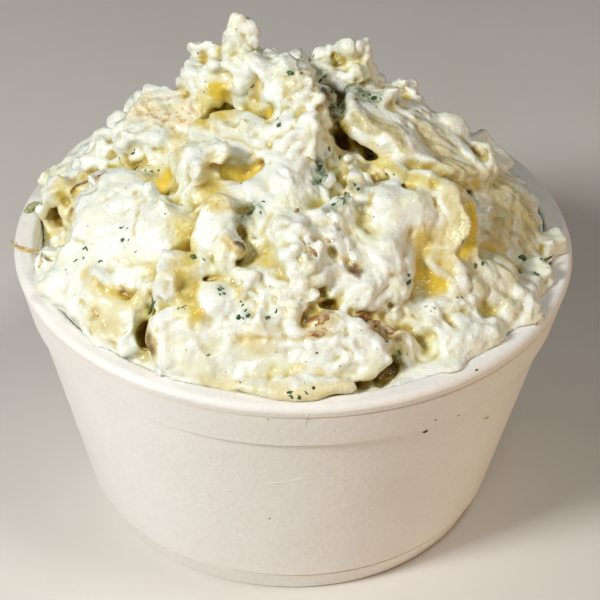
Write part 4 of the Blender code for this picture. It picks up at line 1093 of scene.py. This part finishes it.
def hollowness_for_shade(mesh, verts, normals):
    """How far each point lies below the middle of its neighbours, for its distance from them. The material
    darkens by it, as painted shade.
    """
    edges = np.empty(len(mesh.edges) * 2, np.int32)
    mesh.edges.foreach_get("vertices", edges)
    a, b = edges.reshape(-1, 2).T

    def summed(at_a, at_b):
        return np.bincount(a, at_b, len(verts)) + np.bincount(b, at_a, len(verts))

    count = np.maximum(summed(None, None), 1)
    middle = np.stack([summed(verts[a, k], verts[b, k]) / count for k in range(3)], 1)
    length = np.linalg.norm(verts[a] - verts[b], axis=1)
    bend = ((middle - verts) * normals).sum(1) / np.maximum(summed(length, length) / count, 1e-6)
    for _ in range(SMOOTHINGS):
        bend = (1 - SMOOTHING) * bend + SMOOTHING * (summed(bend[a], bend[b]) / count)
    return bend


def mesh_object(name, verts, faces):
    mesh = bpy.data.meshes.new(name)
    mesh.from_pydata((np.asarray(verts) * MM).tolist(), [], [list(map(int, face)) for face in faces])
    mesh.shade_smooth()
    obj = bpy.data.objects.new(name, mesh)
    bpy.context.scene.collection.objects.link(obj)
    return obj


def make_heap():
    verts, quads, values_at = heap_surface()
    heap = mesh_object("dressing", verts, quads)
    fewer = heap.modifiers.new("fewer", "DECIMATE")
    fewer.ratio = min(1, PIECE_TRIANGLES / (2 * len(quads)))
    graph = bpy.context.evaluated_depsgraph_get()
    heap.data = bpy.data.meshes.new_from_object(heap.evaluated_get(graph))
    heap.modifiers.clear()
    heap.data.shade_smooth()
    read_out = []
    for name in ("co", "normal"):
        values = np.empty(len(heap.data.vertices) * 3, np.float32)
        heap.data.vertices.foreach_get(name, values)
        read_out.append(values.reshape(-1, 3))
    verts, normals = read_out[0] / MM, read_out[1]
    values = values_at(verts, normals)
    # Small dips in the surface, for the painted shade in them
    values["hollow"] = hollowness_for_shade(heap.data, verts, normals)
    for name, value in values.items():
        attribute = heap.data.attributes.new(name, "FLOAT", "POINT")
        attribute.data.foreach_set("value", np.asarray(value, np.float32))
    heap.data.materials.append(salad_material())
    return heap


# Small pieces

def tree_of(piece):
    faces = [tuple(p.vertices) for p in piece.data.polygons]
    return BVHTree.FromPolygons([v.co.copy() for v in piece.data.vertices], faces)


def hit(tree, pixels):
    """Where the pixels' rays meet the tree's surface, with the surface's direction there."""
    start, rays = pixel_rays(pixels)
    found = [tree.ray_cast(Vector(start) * MM, Vector(ray)) for ray in rays]
    return [(place / MM, normal) for place, normal, _, _ in found if place is not None]


def laid_strokes(tree, strokes, longest):
    """The strokes that lie close: two ends on the surface, its direction, the width and the last pixel."""
    for first, last, width in strokes:
        ends = hit(tree, (first, last))
        if len(ends) == 2 and (ends[0][0] - ends[1][0]).length <= longest:
            yield ends[0][0], ends[1][0], (ends[0][1] + ends[1][1]).normalized(), width, last


def band(first, second, sides):
    """The faces between two rings, given by the number of each ring's first point."""
    turns = [(i, (i + 1) % sides) for i in range(sides)]
    return [(first + i, first + j, second + j, second + i) for i, j in turns]


def round_steps(sides):
    return [(math.cos(2 * math.pi * i / sides), math.sin(2 * math.pi * i / sides)) for i in range(sides)]


def shard(draw, start, end, width, thickness, normal):
    """A flat, uneven shard from start to end, as points and faces."""
    along = end - start
    length = max(along.length, 0.3)
    along = (along - normal * along.dot(normal)).normalized()
    across = normal.cross(along)
    middle = (start + end) / 2 - normal * thickness * 0.15
    sides = 9
    verts = [middle + normal * thickness * 0.6]
    for cos, sin in round_steps(sides):
        reach = draw.uniform(0.55, 1.15)
        lift = draw.uniform(-0.12, 0.12) * width
        place = along * (cos * length / 2 * reach) + across * (sin * width / 2 * reach)
        verts.append(middle + place + normal * (lift + thickness * 0.3))
        verts.append(middle + place * 0.9 + normal * (lift - thickness * 0.5))
    verts.append(middle - normal * thickness * 0.6)
    faces = []
    for i in range(sides):
        j = (i + 1) % sides
        faces.append((0, 1 + 2 * i, 1 + 2 * j))
        faces.append((1 + 2 * i, 2 + 2 * i, 2 + 2 * j, 1 + 2 * j))
        faces.append((2 + 2 * i, 2 * sides + 1, 2 + 2 * j))
    return verts, faces


def rounded(draw, start, end, width, height, normal):
    """An uneven rounded lump from start to end, as points and faces."""
    along = (end - start).normalized()
    across = normal.cross(along).normalized()
    up = along.cross(across)
    middle = (start + end) / 2
    half = Vector(((end - start).length / 2 + width / 4, width / 2, height / 2))
    rings, sides = 7, 10
    verts = [middle - along * half.x]
    for k in range(1, rings):
        a = math.pi * k / rings
        for cos, sin in round_steps(sides):
            flat = math.sin(a) * draw.uniform(0.72, 1.15)
            aside = across * (half.y * flat * cos) + up * (half.z * flat * sin)
            verts.append(middle - along * (half.x * math.cos(a)) + aside)
    verts.append(middle + along * half.x)
    last = 1 + (rings - 2) * sides
    faces = []
    for i in range(sides):
        j = (i + 1) % sides
        faces.append((0, 1 + j, 1 + i))
        faces.append((last + i, last + j, len(verts) - 1))
    for low in range(1, last, sides):
        faces += band(low, low + sides, sides)
    return verts, faces


def strand(places, radius, seed):
    """A thin, flattened strand through the places."""
    draw = random.Random(seed)
    sides = 6
    verts, faces = [], []
    for k, place in enumerate(places):
        ahead = (places[min(k + 1, len(places) - 1)] - places[max(k - 1, 0)]).normalized()
        across = ahead.cross(Vector((0, 0, 1))).normalized()
        up = across.cross(ahead)
        here = radius * draw.uniform(0.7, 1.1) * (0.35 if k in (0, len(places) - 1) else 1)
        verts += [place + across * cos * here + up * sin * here * 0.5 for cos, sin in round_steps(sides)]
    last = (len(places) - 1) * sides
    for low in range(0, last, sides):
        faces += band(low, low + sides, sides)
    faces.append(tuple(reversed(range(sides))))
    faces.append(tuple(last + i for i in range(sides)))
    return verts, faces


def joined(name, parts):
    verts, faces = [], []
    for part_verts, part_faces in parts:
        faces += [tuple(len(verts) + k for k in face) for face in part_faces]
        verts += [tuple(v) for v in part_verts]
    return mesh_object(name, verts, faces)


def lumps(name, tree, strokes, seed):
    """Uneven lumps, a run of three along each stroke, sunk into the surface."""
    draw = random.Random(seed)
    parts = []
    for start, end, normal, width, _ in laid_strokes(tree, strokes, LONGEST_LUMP):
        along = end - start
        across = normal.cross(along).normalized()
        for k in range(3):
            aside = across * draw.uniform(-0.3, 0.3) * width
            middle = start + along * (0.2 + 0.3 * k) + aside - normal * 0.25 * width
            turn = along * draw.uniform(0.2, 0.35) + across * draw.uniform(-0.25, 0.25) * width
            thick = width * draw.uniform(0.5, 0.9)
            parts.append(rounded(draw, middle - turn, middle + turn, thick, thick, normal))
    return joined(name, parts)


def shards(name, tree, strokes, thickness, extra, seed, scraps=0):
    """Shards along the strokes, each with some scraps beside it, and one more at each extra place."""
    draw = random.Random(seed)
    parts = []
    for start, end, normal, width, last in laid_strokes(tree, strokes, LONGEST_SHARD):
        parts.append(shard(draw, start, end, width, thickness, normal))
        for _ in range(scraps):
            beside = (last[0] + draw.uniform(-7, 7), last[1] + draw.uniform(-5, 5))
            place, normal = hit(tree, [beside, last])[0]
            way = Vector((draw.uniform(-1, 1), draw.uniform(-1, 1), 0)).cross(normal).normalized()
            way *= draw.uniform(0.15, 0.6)
            parts.append(shard(draw, place - way, place + way, draw.uniform(0.3, 0.9), thickness, normal))
    for place, normal in extra:
        way = Vector([draw.uniform(-1, 1) for _ in range(3)]).cross(normal).normalized()
        way *= draw.uniform(0.5, 1.3) / 2
        parts.append(shard(draw, place - way, place + way, draw.uniform(0.3, 0.8), thickness, normal))
    return joined(name, parts)


def specks(name, places, seed):
    """Small uneven grains."""
    draw = random.Random(seed)
    parts = []
    for place, normal in places:
        size = draw.uniform(*GRAIN_SIZES)
        turn = Quaternion([draw.uniform(-1, 1) for _ in range(3)], draw.uniform(0, 6))
        corners = [Vector(c) * size * draw.uniform(0.7, 1.2) for c in GRAIN]
        parts.append(([place + normal * size * 0.3 + turn @ c for c in corners], GRAIN_FACES))
    return joined(name, parts)


def sprinkled(mesh, count, seed):
    """Places spread over the upper side of the mesh."""
    draw = random.Random(seed)
    faces = mesh.polygons
    lowest = (CUP_HEIGHT + 1) * MM
    places = []
    while len(places) < count:
        face = faces[draw.randrange(len(faces))]
        if face.normal.z > LOOKING_UP and face.center.z > lowest and draw.random() < face.area / BIG_FACE:
            places.append((face.center / MM, face.normal.copy()))
    return places


def on_the_lip(pixel, tree):
    """The pixel's place on the heap or, outside it, just over the lip."""
    start, rays = pixel_rays([pixel])
    found = tree.ray_cast(Vector(start) * MM, Vector(rays[0]))[0]
    over_the_lip = CUP_HEIGHT + 0.5
    if found is None or (found / MM).z < over_the_lip:
        return Vector(start + rays[0] * ((over_the_lip - start[2]) / rays[0][2]))
    return found / MM + Vector((0, 0, 0.3))


# Materials

class Nodes:
    """A short way to write a material's nodes. Sizes and depths are in millimetres."""

    def __init__(self, name):
        self.material = bpy.data.materials.new(name)
        self.material.use_nodes = True
        self.tree = self.material.node_tree
        self.shader = self.tree.nodes["Principled BSDF"]

    def node(self, kind, **values):
        node = self.tree.nodes.new(kind)
        for name, value in values.items():
            setattr(node, name, value)
        return node

    def put(self, value, socket):
        """Links the value, or sets it if it is a number or a colour."""
        if isinstance(value, tuple):
            socket.default_value = (*value, 1)
        elif isinstance(value, (int, float)):
            socket.default_value = value
        else:
            self.tree.links.new(value, socket)

    def value(self, name):
        return self.node("ShaderNodeAttribute", attribute_name=name).outputs["Fac"]

    def place(self):
        return self.node("ShaderNodeTexCoord").outputs["Object"]

    def noise(self, size, detail=2.0):
        """Noise from 0 to 1 with features about size across."""
        texture = self.node("ShaderNodeTexNoise")
        texture.inputs["Scale"].default_value = 1 / (size * MM)
        texture.inputs["Detail"].default_value = detail
        self.put(self.place(), texture.inputs["Vector"])
        return texture.outputs["Fac"]

    def ranged(self, source, low, high, to_low=0.0, to_high=1.0):
        node = self.node("ShaderNodeMapRange", interpolation_type="SMOOTHSTEP")
        for name, value in (("From Min", low), ("From Max", high), ("To Min", to_low), ("To Max", to_high)):
            node.inputs[name].default_value = value
        self.put(source, node.inputs["Value"])
        return node.outputs["Result"]

    def math(self, operation, a, b=0):
        node = self.node("ShaderNodeMath", operation=operation)
        self.put(a, node.inputs[0])
        self.put(b, node.inputs[1])
        return node.outputs["Value"]

    def mix(self, share, a, b, blend="MIX"):
        node = self.node("ShaderNodeMix", data_type="RGBA", blend_type=blend)
        for socket, value in ((0, share), (6, a), (7, b)):
            self.put(value, node.inputs[socket])
        return node.outputs[2]

    def mottled(self, size, detail, low, high, first, second, most=1.0):
        """The first colour with patches of the second, where noise goes from low to high."""
        return self.mix(self.ranged(self.noise(size, detail), low, high, 0, most), first, second)

    def darkened(self, share, colour, shade):
        return self.mix(share, colour, self.mix(1.0, colour, shade, "MULTIPLY"))

    def bump(self, height, strength, distance, below=None):
        node = self.node("ShaderNodeBump")
        node.inputs["Strength"].default_value = strength
        node.inputs["Distance"].default_value = distance * MM
        self.put(height, node.inputs["Height"])
        if below is not None:
            self.put(below, node.inputs["Normal"])
        return node.outputs["Normal"]

    def finished(self, colour, roughness, normal=None, glow=None):
        """The material, with light under its skin where glow gives the weight, colour and depth of that."""
        self.put(colour, self.shader.inputs["Base Color"])
        self.put(roughness, self.shader.inputs["Roughness"])
        if normal is not None:
            self.put(normal, self.shader.inputs["Normal"])
        if glow is not None:
            weight, colours, depth = glow
            self.shader.inputs["Subsurface Weight"].default_value = weight
            self.shader.inputs["Subsurface Radius"].default_value = colours
            self.shader.inputs["Subsurface Scale"].default_value = depth * MM
        return self.material


def salad_material():
    n = Nodes("dressed_potato")
    patches = n.math("MULTIPLY", n.math("SUBTRACT", n.noise(3, 3), 0.5), 0.9)

    def patchy(name):
        return n.math("ADD", n.value(name), patches)

    bare = patchy("bare")
    colour = n.mottled(7, 3, 0.46, 0.70, (0.872, 0.905, 0.835), (0.83, 0.84, 0.60), 0.8)
    potato = n.mottled(2.2, 3, 0.35, 0.7, (0.69, 0.575, 0.16), (0.81, 0.735, 0.36))
    flesh = n.mottled(1.6, 3, 0.35, 0.7, (0.54, 0.485, 0.26), (0.73, 0.685, 0.44))
    pores = n.mottled(1.3, 2, 0.52, 0.68, (0.87, 0.80, 0.57), (0.70, 0.45, 0.17))
    leafy = n.mottled(1.0, 2, 0.4, 0.65, (0.48, 0.54, 0.40), (0.13, 0.19, 0.12))
    for value, low, high, most, layer in (
        (bare, 0.03, 0.40, 1, (0.80, 0.74, 0.47)),
        (bare, 0.45, 0.95, 1, potato),
        # Dull flesh, partly painted shade where the heap lies in shadow
        (patchy("tan"), 0.25, 1.0, 0.9, flesh),
        (n.value("streak"), 0.1, 0.8, 0.75, (0.60, 0.56, 0.33)),
        (n.value("crumb"), 0.3, 0.9, 1, pores),
    ):
        colour = n.mix(n.ranged(value, low, high, 0, most), colour, layer)
    # Painted shade: darker and yellower in small dips of the surface, where the heap is enclosed, darker
    # still where it is most enclosed, and along the creases
    for value, low, high, most, shade in (
        (n.value("hollow"), 0.0, 0.18, 1, (0.70, 0.58, 0.28)),
        (n.value("wide"), 0.34, 0.56, 1, (0.83, 0.75, 0.39)),
        (n.value("wide"), 0.50, 0.72, 1, (0.56, 0.43, 0.17)),
        (n.value("crease"), 0.3, 1.1, 0.8, (0.82, 0.68, 0.36)),
    ):
        colour = n.darkened(n.ranged(value, low, high, 0, most), colour, shade)
    # Yellow potato, partly painted shade in pockets and under overhangs
    colour = n.mix(n.ranged(n.value("amber"), 0.2, 0.9), colour, (0.77, 0.575, 0.06))
    colour = n.mix(n.ranged(patchy("green"), 0.1, 0.9, 0, 0.85), colour, leafy)
    # Browned potato, partly painted shade in the darkest pits and under edges
    colour = n.mix(n.ranged(patchy("brown"), 0.3, 1.0), colour, (0.16, 0.07, 0.02))
    ridges = n.math("ABSOLUTE", n.math("SUBTRACT", n.noise(2.6, 3), 0.5))
    coarse = n.bump(n.noise(1.7, 3), 0.5, 0.6, n.bump(ridges, 0.32, 1.2))
    fine = n.bump(n.noise(0.7, 2), 0.35, 0.25, coarse)
    wet = n.ranged(n.noise(1.6, 2), 0.35, 0.65, 0.22, 0.40)
    return n.finished(colour, wet, fine, (0.22, (1.0, 0.9, 0.5), 1.4))


def plain_material(name, low, high, roughness, size=1.2):
    n = Nodes(name)
    colour = n.mottled(size, 3, 0.35, 0.65, low, high)
    return n.finished(colour, roughness, n.bump(n.noise(size / 2, 2), 0.3, 0.15))


def foam_material():
    n = Nodes("white_foam")
    beads = n.node("ShaderNodeTexVoronoi")
    beads.inputs["Scale"].default_value = 1 / (FOAM_BEAD * MM)
    n.put(n.place(), beads.inputs["Vector"])
    tint = n.mottled(22, 3, 0.35, 0.7, (0.88, 0.865, 0.83), (0.91, 0.90, 0.875))
    tint = n.darkened(n.ranged(n.noise(0.9, 2), 0.4, 0.7, 0, 0.35), tint, (0.93, 0.90, 0.86))
    heights = n.node("ShaderNodeSeparateXYZ")
    n.put(n.place(), heights.inputs["Vector"])
    # Painted shade: a thin darker line along each groove, under the lip band, under the collar and over the
    # foot
    for height in (CUP_HEIGHT - LIP_BAND, CUP_HEIGHT - COLLAR_HEIGHT - LINE_DEPTH, FOOT_HEIGHT + LINE_DEPTH):
        off = n.math("ABSOLUTE", n.math("SUBTRACT", heights.outputs["Z"], height * MM))
        tint = n.mix(n.ranged(off, 0.15 * MM, 0.5 * MM, 0.5, 0), tint, (0.66, 0.55, 0.44))
    cells = n.bump(beads.outputs["Distance"], 0.4, 0.14, n.bump(n.noise(6, 3), 0.25, 0.4))
    leather = n.bump(n.noise(0.8, 2), 0.5, 0.16, cells)
    return n.finished(tint, 0.55, leather, (0.12, (1.0, 0.8, 0.6), 1.5))


def floor_material():
    n = Nodes("floor")
    return n.finished(n.mottled(60, 2, 0.3, 0.7, (0.74, 0.71, 0.67), (0.77, 0.745, 0.71)), 0.6)


# Cup

def arc(centre_r, centre_z, radius, start, end, steps):
    points = []
    for i in range(steps + 1):
        a = math.radians(start + (end - start) * i / steps)
        points.append((centre_r + radius * math.cos(a), centre_z + radius * math.sin(a)))
    return points


def cup_profile():
    """Inner floor, inner wall, over the rolled lip, down the collar and the wall, and under the base."""
    collar_bottom = CUP_HEIGHT - COLLAR_HEIGHT
    corner = FLOOR_HEIGHT + INNER_ROUNDING
    band_radius = RIM_RADIUS - COLLAR_DRAFT * (LIP_BAND - LIP_ROUNDING) / (COLLAR_HEIGHT - LIP_ROUNDING)
    collar = RIM_RADIUS - COLLAR_DRAFT
    wall = collar - COLLAR_STEP
    groove = LINE_DEPTH
    profile = [(0, FLOOR_HEIGHT)]
    profile += arc(inner_radius(corner) - INNER_ROUNDING, corner, INNER_ROUNDING, -90, -10, 6)
    profile += arc(LIP_INNER + LIP_ROUNDING, LIP_MIDDLE, LIP_ROUNDING, 180, 90, 8)
    profile += arc(RIM_RADIUS - LIP_ROUNDING, LIP_MIDDLE, LIP_ROUNDING, 90, 0, 8)
    profile += [
        (band_radius, CUP_HEIGHT - LIP_BAND + groove),
        (band_radius - groove, CUP_HEIGHT - LIP_BAND),
        (band_radius - groove / 2, CUP_HEIGHT - LIP_BAND - groove),
        (collar, collar_bottom + groove),
        (collar - groove, collar_bottom),
        (wall - groove, collar_bottom - groove / 2),
        (wall - groove, collar_bottom - groove),
        (wall, collar_bottom - 2.5 * groove),
        (FOOT_RADIUS + 0.15, FOOT_HEIGHT + 2 * groove),
        (FOOT_RADIUS - groove, FOOT_HEIGHT + groove),
        (FOOT_RADIUS - groove / 3, FOOT_HEIGHT),
        (FOOT_RADIUS - 0.5, FOOT_HEIGHT - 0.8),
    ]
    profile += arc(BASE_RADIUS - BASE_ROUNDING, BASE_ROUNDING, BASE_ROUNDING, 0, -90, 6)
    profile += [(RECESS_RADIUS, 0), (RECESS_RADIUS - RECESS_DEPTH, RECESS_DEPTH), (0, RECESS_DEPTH)]
    return supported(profile)


def supported(profile):
    """The profile with a point just before and after each corner, so that its flat runs shade flat."""
    points = [profile[0]]
    for a, b in zip(profile[:-1], profile[1:]):
        length = math.dist(a, b)
        if length > 4 * CORNER_SUPPORT:
            for share in (CORNER_SUPPORT / length, 1 - CORNER_SUPPORT / length):
                points.append((a[0] + (b[0] - a[0]) * share, a[1] + (b[1] - a[1]) * share))
        points.append(b)
    return points


def turned(name, rings, steps):
    """A solid turned from rings (radius, height), closed by a flat face at each end."""
    verts = [(r * cos, r * sin, z) for r, z in rings for cos, sin in round_steps(steps)]
    last = (len(rings) - 1) * steps
    faces = []
    for low in range(0, last, steps):
        faces += band(low + steps, low, steps)
    faces.append(tuple(range(steps)))
    faces.append(tuple(last + steps - 1 - i for i in range(steps)))
    solid = mesh_object(name, verts, faces)
    solid.data.set_sharp_from_angle(angle=math.radians(SHARP_ANGLE))
    return solid


def make_cup():
    cup = turned("foam_cup_wall", [point for point in cup_profile() if point[0] > 0], CUP_STEPS)
    cup.data.materials.append(foam_material())
    return cup


def make_filling():
    """The salad inside the cup, below the meshed surface."""
    corner = FLOOR_HEIGHT + INNER_ROUNDING
    top = GRID_LOW[2] + 0.6
    rings = [
        (inner_radius(top) - FILLING_GAP, top),
        (inner_radius(corner) - FILLING_GAP, corner),
        (inner_radius(corner) - INNER_ROUNDING, FLOOR_HEIGHT + WALL_GAP),
    ]
    return turned("salad_filling", rings, FILLING_STEPS)


# Stage

def make_camera():
    place, rotation = camera_axes()
    camera = bpy.data.objects.new("camera", bpy.data.cameras.new("camera"))
    bpy.context.scene.collection.objects.link(camera)
    camera.location = place * MM
    camera.rotation_mode = "QUATERNION"
    camera.rotation_quaternion = rotation
    camera.data.sensor_width = SENSOR
    camera.data.lens = SENSOR * FOCAL_PIXELS / PHOTO_SIZE
    camera.data.clip_start = 0.01
    bpy.context.scene.camera = camera


def area_light(name, place, size, power, colour):
    light = bpy.data.lights.new(name, "AREA")
    light.energy = power
    light.size = size
    light.color = colour
    obj = bpy.data.objects.new(name, light)
    obj.location = place
    obj.rotation_mode = "QUATERNION"
    obj.rotation_quaternion = (Vector(LIGHT_AIM) - Vector(place)).to_track_quat("-Z", "Y")
    bpy.context.scene.collection.objects.link(obj)


def make_stage():
    corners = [(-FLOOR_HALF, -FLOOR_HALF, 0), (FLOOR_HALF, -FLOOR_HALF, 0)]
    corners += [(FLOOR_HALF, FLOOR_HALF, 0), (-FLOOR_HALF, FLOOR_HALF, 0)]
    floor = mesh_object("floor", corners, [(0, 1, 2, 3)])
    floor.data.materials.append(floor_material())
    for light in LIGHTS:
        area_light(*light)
    world = bpy.data.worlds.new("studio")
    world.use_nodes = True
    background = world.node_tree.nodes["Background"]
    background.inputs["Color"].default_value = AIR_COLOUR
    background.inputs["Strength"].default_value = AIR_STRENGTH
    bpy.context.scene.world = world
    bpy.context.scene.view_settings.view_transform = "Standard"


def make_heap_pieces(heap, cup):
    """The loose pieces on the heap, each placed on the surface that carries it."""
    tree = tree_of(heap)
    herb_places = sprinkled(heap.data, SPRINKLED_HERBS, SPRINKLE_SEED)
    herbs = shards("herb_flakes", tree, HERBS, HERB_THICKNESS, herb_places, seed=31, scraps=1)
    bits = lumps("browned_bits", tree, BROWN_BITS, seed=32)
    pepper_places = hit(tree, PEPPER) + sprinkled(heap.data, SPRINKLED_PEPPER, SPRINKLE_SEED + 1)
    pepper = specks("pepper_specks", pepper_places, seed=33)
    lines = [[on_the_lip(pixel, tree) for pixel in line] for line in STRAW]
    straws = [strand(line, STRAW_RADIUS, seed=34 + k) for k, line in enumerate(lines)]
    straw = joined("straw_strand", straws)
    first, last, width = BEAD
    (start, normal), (end, _) = hit(tree_of(cup), (first, last))
    bead = joined("green_bead", [rounded(random.Random(35), start, end, width, width, normal)])
    return herbs, bits, pepper, straw, bead, make_filling()


def make_cup_pieces(cup):
    """The specks, crumbs and scratches on the cup's outside."""
    wall = tree_of(cup)
    dark = shards("cup_specks", wall, CUP_SPECKS, SPECK_THICKNESS, [], seed=36)
    crumbs = shards("cup_crumbs", wall, CUP_CRUMBS, CRUMB_THICKNESS, [], seed=37)
    lines = [[place for place, _ in hit(wall, line)] for line in SCRATCHES]
    marks = [strand(line, SCRATCH_RADIUS, seed=38 + k) for k, line in enumerate(lines)]
    scratches = joined("cup_scratches", marks)
    scratches.data.materials.append(foam_material())
    return dark, crumbs, scratches


def main():
    make_camera()
    make_stage()
    heap = make_heap()
    cup = make_cup()
    heap_pieces = make_heap_pieces(heap, cup)
    cup_pieces = make_cup_pieces(cup)
    for piece in (*heap_pieces, *cup_pieces):
        if piece.name in LOOKS:
            piece.data.materials.append(plain_material(*LOOKS[piece.name]))
    for piece in (heap, *heap_pieces):
        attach(piece, "root")
        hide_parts("potato_salad")
    for piece in (cup, *cup_pieces):
        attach(piece, "root")
        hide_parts("foam_cup")


main()
